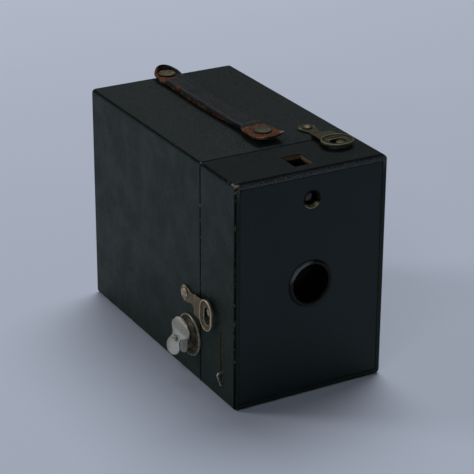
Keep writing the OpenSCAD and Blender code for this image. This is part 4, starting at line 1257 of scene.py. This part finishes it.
# stands +Z of a piece out of the left side, towards -X
on_left = Matrix(((0, 0, -1, 0), (0, 1, 0, 0), (1, 0, 0, 0), (0, 0, 0, 1)))
latch("top_ring_latch", "top_latch", OLIVE, turned(TOP_RIVET, on_top, 2.5), reach=24.7,
      ring_size=(15.8, 13.8), eye_size=(8.8, 5.4), eye_dx=0.6, end_r=4.5)
latch("side_ring_latch", "side_latch", WARM, turned(SIDE_RIVET, on_left, -2.2), reach=23.9,
      ring_size=(15.4, 10.9), eye_size=(8.8, 5.2), eye_dx=-0.6, end_r=4.1)

# domed rivet heads the latches turn on, one piece each with its shank
dome = rounded([
    (2.6, -3.8), (2.6, -3.42), (1.5, -3.42), (1.5, 0.95), (2.75, 0.98), (2.85, 1.22),
    (2.45, 1.62), (1.7, 2.0), (0.9, 2.2), (0.02, 2.26)], 0.16, closed=False)
rivet = lathe([(0.02, -3.8)] + dome, 48)
rivets = [placed(rivet, turned(point, base, 0))
          for point, base in ((TOP_RIVET, on_top), (SIDE_RIVET, on_left))]
build("latch_rivet_heads", joined(rivets), "case", RIVETS, "latch_rivets")


# ---------- winding key: one strip folded at one end, the outer plate splayed and turned ----------

KEY_BASE = 3.25  # underside of the inner plate
HALF_SHEET = 0.4
TWIST = 13       # degrees the outer plate is turned about its length
INNER_END, FOLD_HALF = 7.5, 2.5


def lobe(x, half, r, waist):
    """Half width of a plate with round ends of radius r and a narrower waist."""
    centre = half - r
    if abs(x) > centre:
        return math.sqrt(max(r * r - (abs(x) - centre) ** 2, 0.04))
    return waist + (r - waist) * (1 - math.cos(math.pi * abs(x) / centre)) / 2


stations = []  # x, z, twist in degrees, half width
for k in range(46):
    x = -8.9 + (INNER_END + 8.9) * (k / 45)
    half = lobe(x, half=8.9, r=5.1, waist=4.2)
    half += (FOLD_HALF - half) * smooth(x, 5.0, INNER_END)
    stations.append((x, KEY_BASE + HALF_SHEET, 0, half))
for k in range(1, 13):
    a = math.radians(-90 + 15 * k)
    stations.append((INNER_END + 1.40 * math.cos(a), KEY_BASE + 1.30 + 0.90 * math.sin(a),
                     TWIST * smooth(k / 13), FOLD_HALF + 2.8 * smooth(k, 4.5, 11)))
splay = math.tan(math.radians(15))
# x, half width of the outer plate towards the fold
outer_halves = [(0, 2.9), (1.2, 3.1), (2.6, 4.4), (4.2, 5.8), (5.8, 6.2), (7.4, 5.4)]
for k in range(1, 50):
    x = 7.2 - (7.2 + 8.25) * k / 49
    half = lobe(x, half=8.3, r=4.4, waist=2.9) if x < 0 else curve(outer_halves, x)
    z = 7.5 - x * splay
    z += (KEY_BASE + 2.20 - z) * smooth(x, 4.2, 7.4)
    stations.append((x, z, TWIST, half))
rings = []
for i, (x, z, twist, half) in enumerate(stations):
    before, after = stations[max(i - 1, 0)], stations[min(i + 1, len(stations) - 1)]
    along = Vector((after[0] - before[0], 0, after[1] - before[1])).normalized()
    side = Vector((0, 1, 0))
    if twist:
        # the outer plate's +Y side stands further out
        side = Matrix.Rotation(math.radians(twist), 3, "X") @ side
    up = along.cross(side).normalized()
    side = up.cross(along).normalized()
    middle = Vector((x, -0.7 * smooth(-x, 0.3, 3.5) * (twist > 12), z))
    bar = [(-half, -HALF_SHEET), (half, -HALF_SHEET), (half, HALF_SHEET), (-half, HALF_SHEET)]
    rings.append([tuple(middle + side * u + up * v) for u, v in rounded(bar, 0.26)])
key_place = turned(KEY, on_left, -18)
handle = build("key_thumb_piece", loft(rings), "winding_key", NICKEL, "key_handle",
               key_place)
# holes in the inner and the outer plate: radius, from, to
for r, low, high in ((1.45, KEY_BASE - 1, KEY_BASE + 2.2), (1.02, KEY_BASE + 2.3, 10)):
    cut(handle, placed(lathe([(r, low), (r, high)], 48), key_place))
shade_smooth(handle.data)

# hollow rivet: shank, rolled lip, dark bore
lip = rounded([
    (0.98, 4.45), (0.98, 8.35), (1.42, 8.42), (1.50, 8.68), (1.2, 8.95), (0.80, 8.9),
    (0.48, 8.6), (0.44, 7.2), (0.02, 7.1)], 0.14, closed=False)
build("key_hollow_rivet", lathe([(0.02, 4.45)] + lip), "winding_key", NICKEL,
      "key_rivet", key_place)

# ---------- shading of all pieces ----------

for obj in frame["nodes"].values():
    shade_smooth(obj.data)
built = {
    "top_ring_latch", "side_ring_latch", "key_thumb_piece", "strap_stud_heads",
    "key_hollow_rivet", "rear_leatherette", "front_leatherette", "strap_leather_band",
    "front_plate", "lens_eyelet", "finder_ferrule", "release_lever", "latch_rivet_heads",
}
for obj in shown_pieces():
    if obj.name in built:
        mod = obj.modifiers.new("normals", "WEIGHTED_NORMAL")
        mod.keep_sharp, mod.weight = True, 60


# ---------- floor, light, camera: metres ----------

def floor_paper():
    """Pale blue-grey, with painted light making it brighter towards the back."""
    mat = Material("floor")
    near = mat.mix(mat.noise(6, detail=3), (0.645, 0.70, 0.83), (0.685, 0.74, 0.87))
    # painted light: the floor brightens towards the back
    far = mat.ramp(mat.axis(1), 0.1, 1.0)
    return mat.finish(Base_Color=mat.mix(far, near, (0.80, 0.86, 0.99)), Roughness=0.9,
                      Specular_IOR_Level=0.15)


paper = floor_paper()
mesh = bpy.data.meshes.new("floor")
mesh.from_pydata([(-6, -4, 0), (6, -4, 0), (6, 9, 0), (-6, 9, 0)], [], [(0, 1, 2, 3)])
mesh.materials.append(paper)
floor = add_object("floor", mesh)
floor.location.z = cad_lo.z - 0.0001

scene = bpy.context.scene
world = bpy.data.worlds.new("studio")
world.use_nodes = True
background = world.node_tree.nodes["Background"]
background.inputs["Color"].default_value = (0.62, 0.68, 0.76, 1)
background.inputs["Strength"].default_value = 0.10
scene.world = world


def area(name, at, size, power, colour):
    """Round lamp aimed at the camera body."""
    data = bpy.data.lights.new(name, "AREA")
    data.shape, data.size, data.energy, data.color = "DISK", size, power, colour
    lamp = add_object(name, data)
    lamp.location = at
    lamp.rotation_mode = "QUATERNION"
    lamp.rotation_quaternion = (Vector(at) - Vector((0, 0, 0.05))).to_track_quat("Z", "Y")


area("window", at=(-1.85, 1.35, 1.30), size=0.7, power=10.4, colour=(0.98, 0.99, 1.0))
area("overhead", at=(0.70, 0.85, 2.4), size=1.7, power=31.5, colour=(0.97, 0.98, 1.0))
area("fill", at=(-1.3, -1.6, 1.2), size=0.6, power=1.8, colour=(0.95, 0.98, 1.0))
area("spark", at=(-0.85, -0.60, 1.25), size=0.35, power=0.9, colour=(0.97, 0.99, 1.0))

view = bpy.data.cameras.new("camera")
view.lens, view.sensor_width, view.sensor_fit = 140.63, 36, "HORIZONTAL"
view.clip_start, view.clip_end = 0.05, 30
viewer = add_object("camera", view)
viewer_at = (-0.4017, -0.7169, 0.4131)
forward = Vector((0.44958, 0.79683, -0.40366)).normalized()
right = forward.cross(Vector((0, 0, 1))).normalized()
up = right.cross(forward)
roll = math.radians(0.277)
right, up = (right * math.cos(roll) + up * math.sin(roll),
             up * math.cos(roll) - right * math.sin(roll))
viewer.matrix_world = Matrix(
    [(right[i], up[i], -forward[i], viewer_at[i]) for i in range(3)] + [(0, 0, 0, 1)])
scene.camera = viewer
scene.view_settings.view_transform = "Standard"
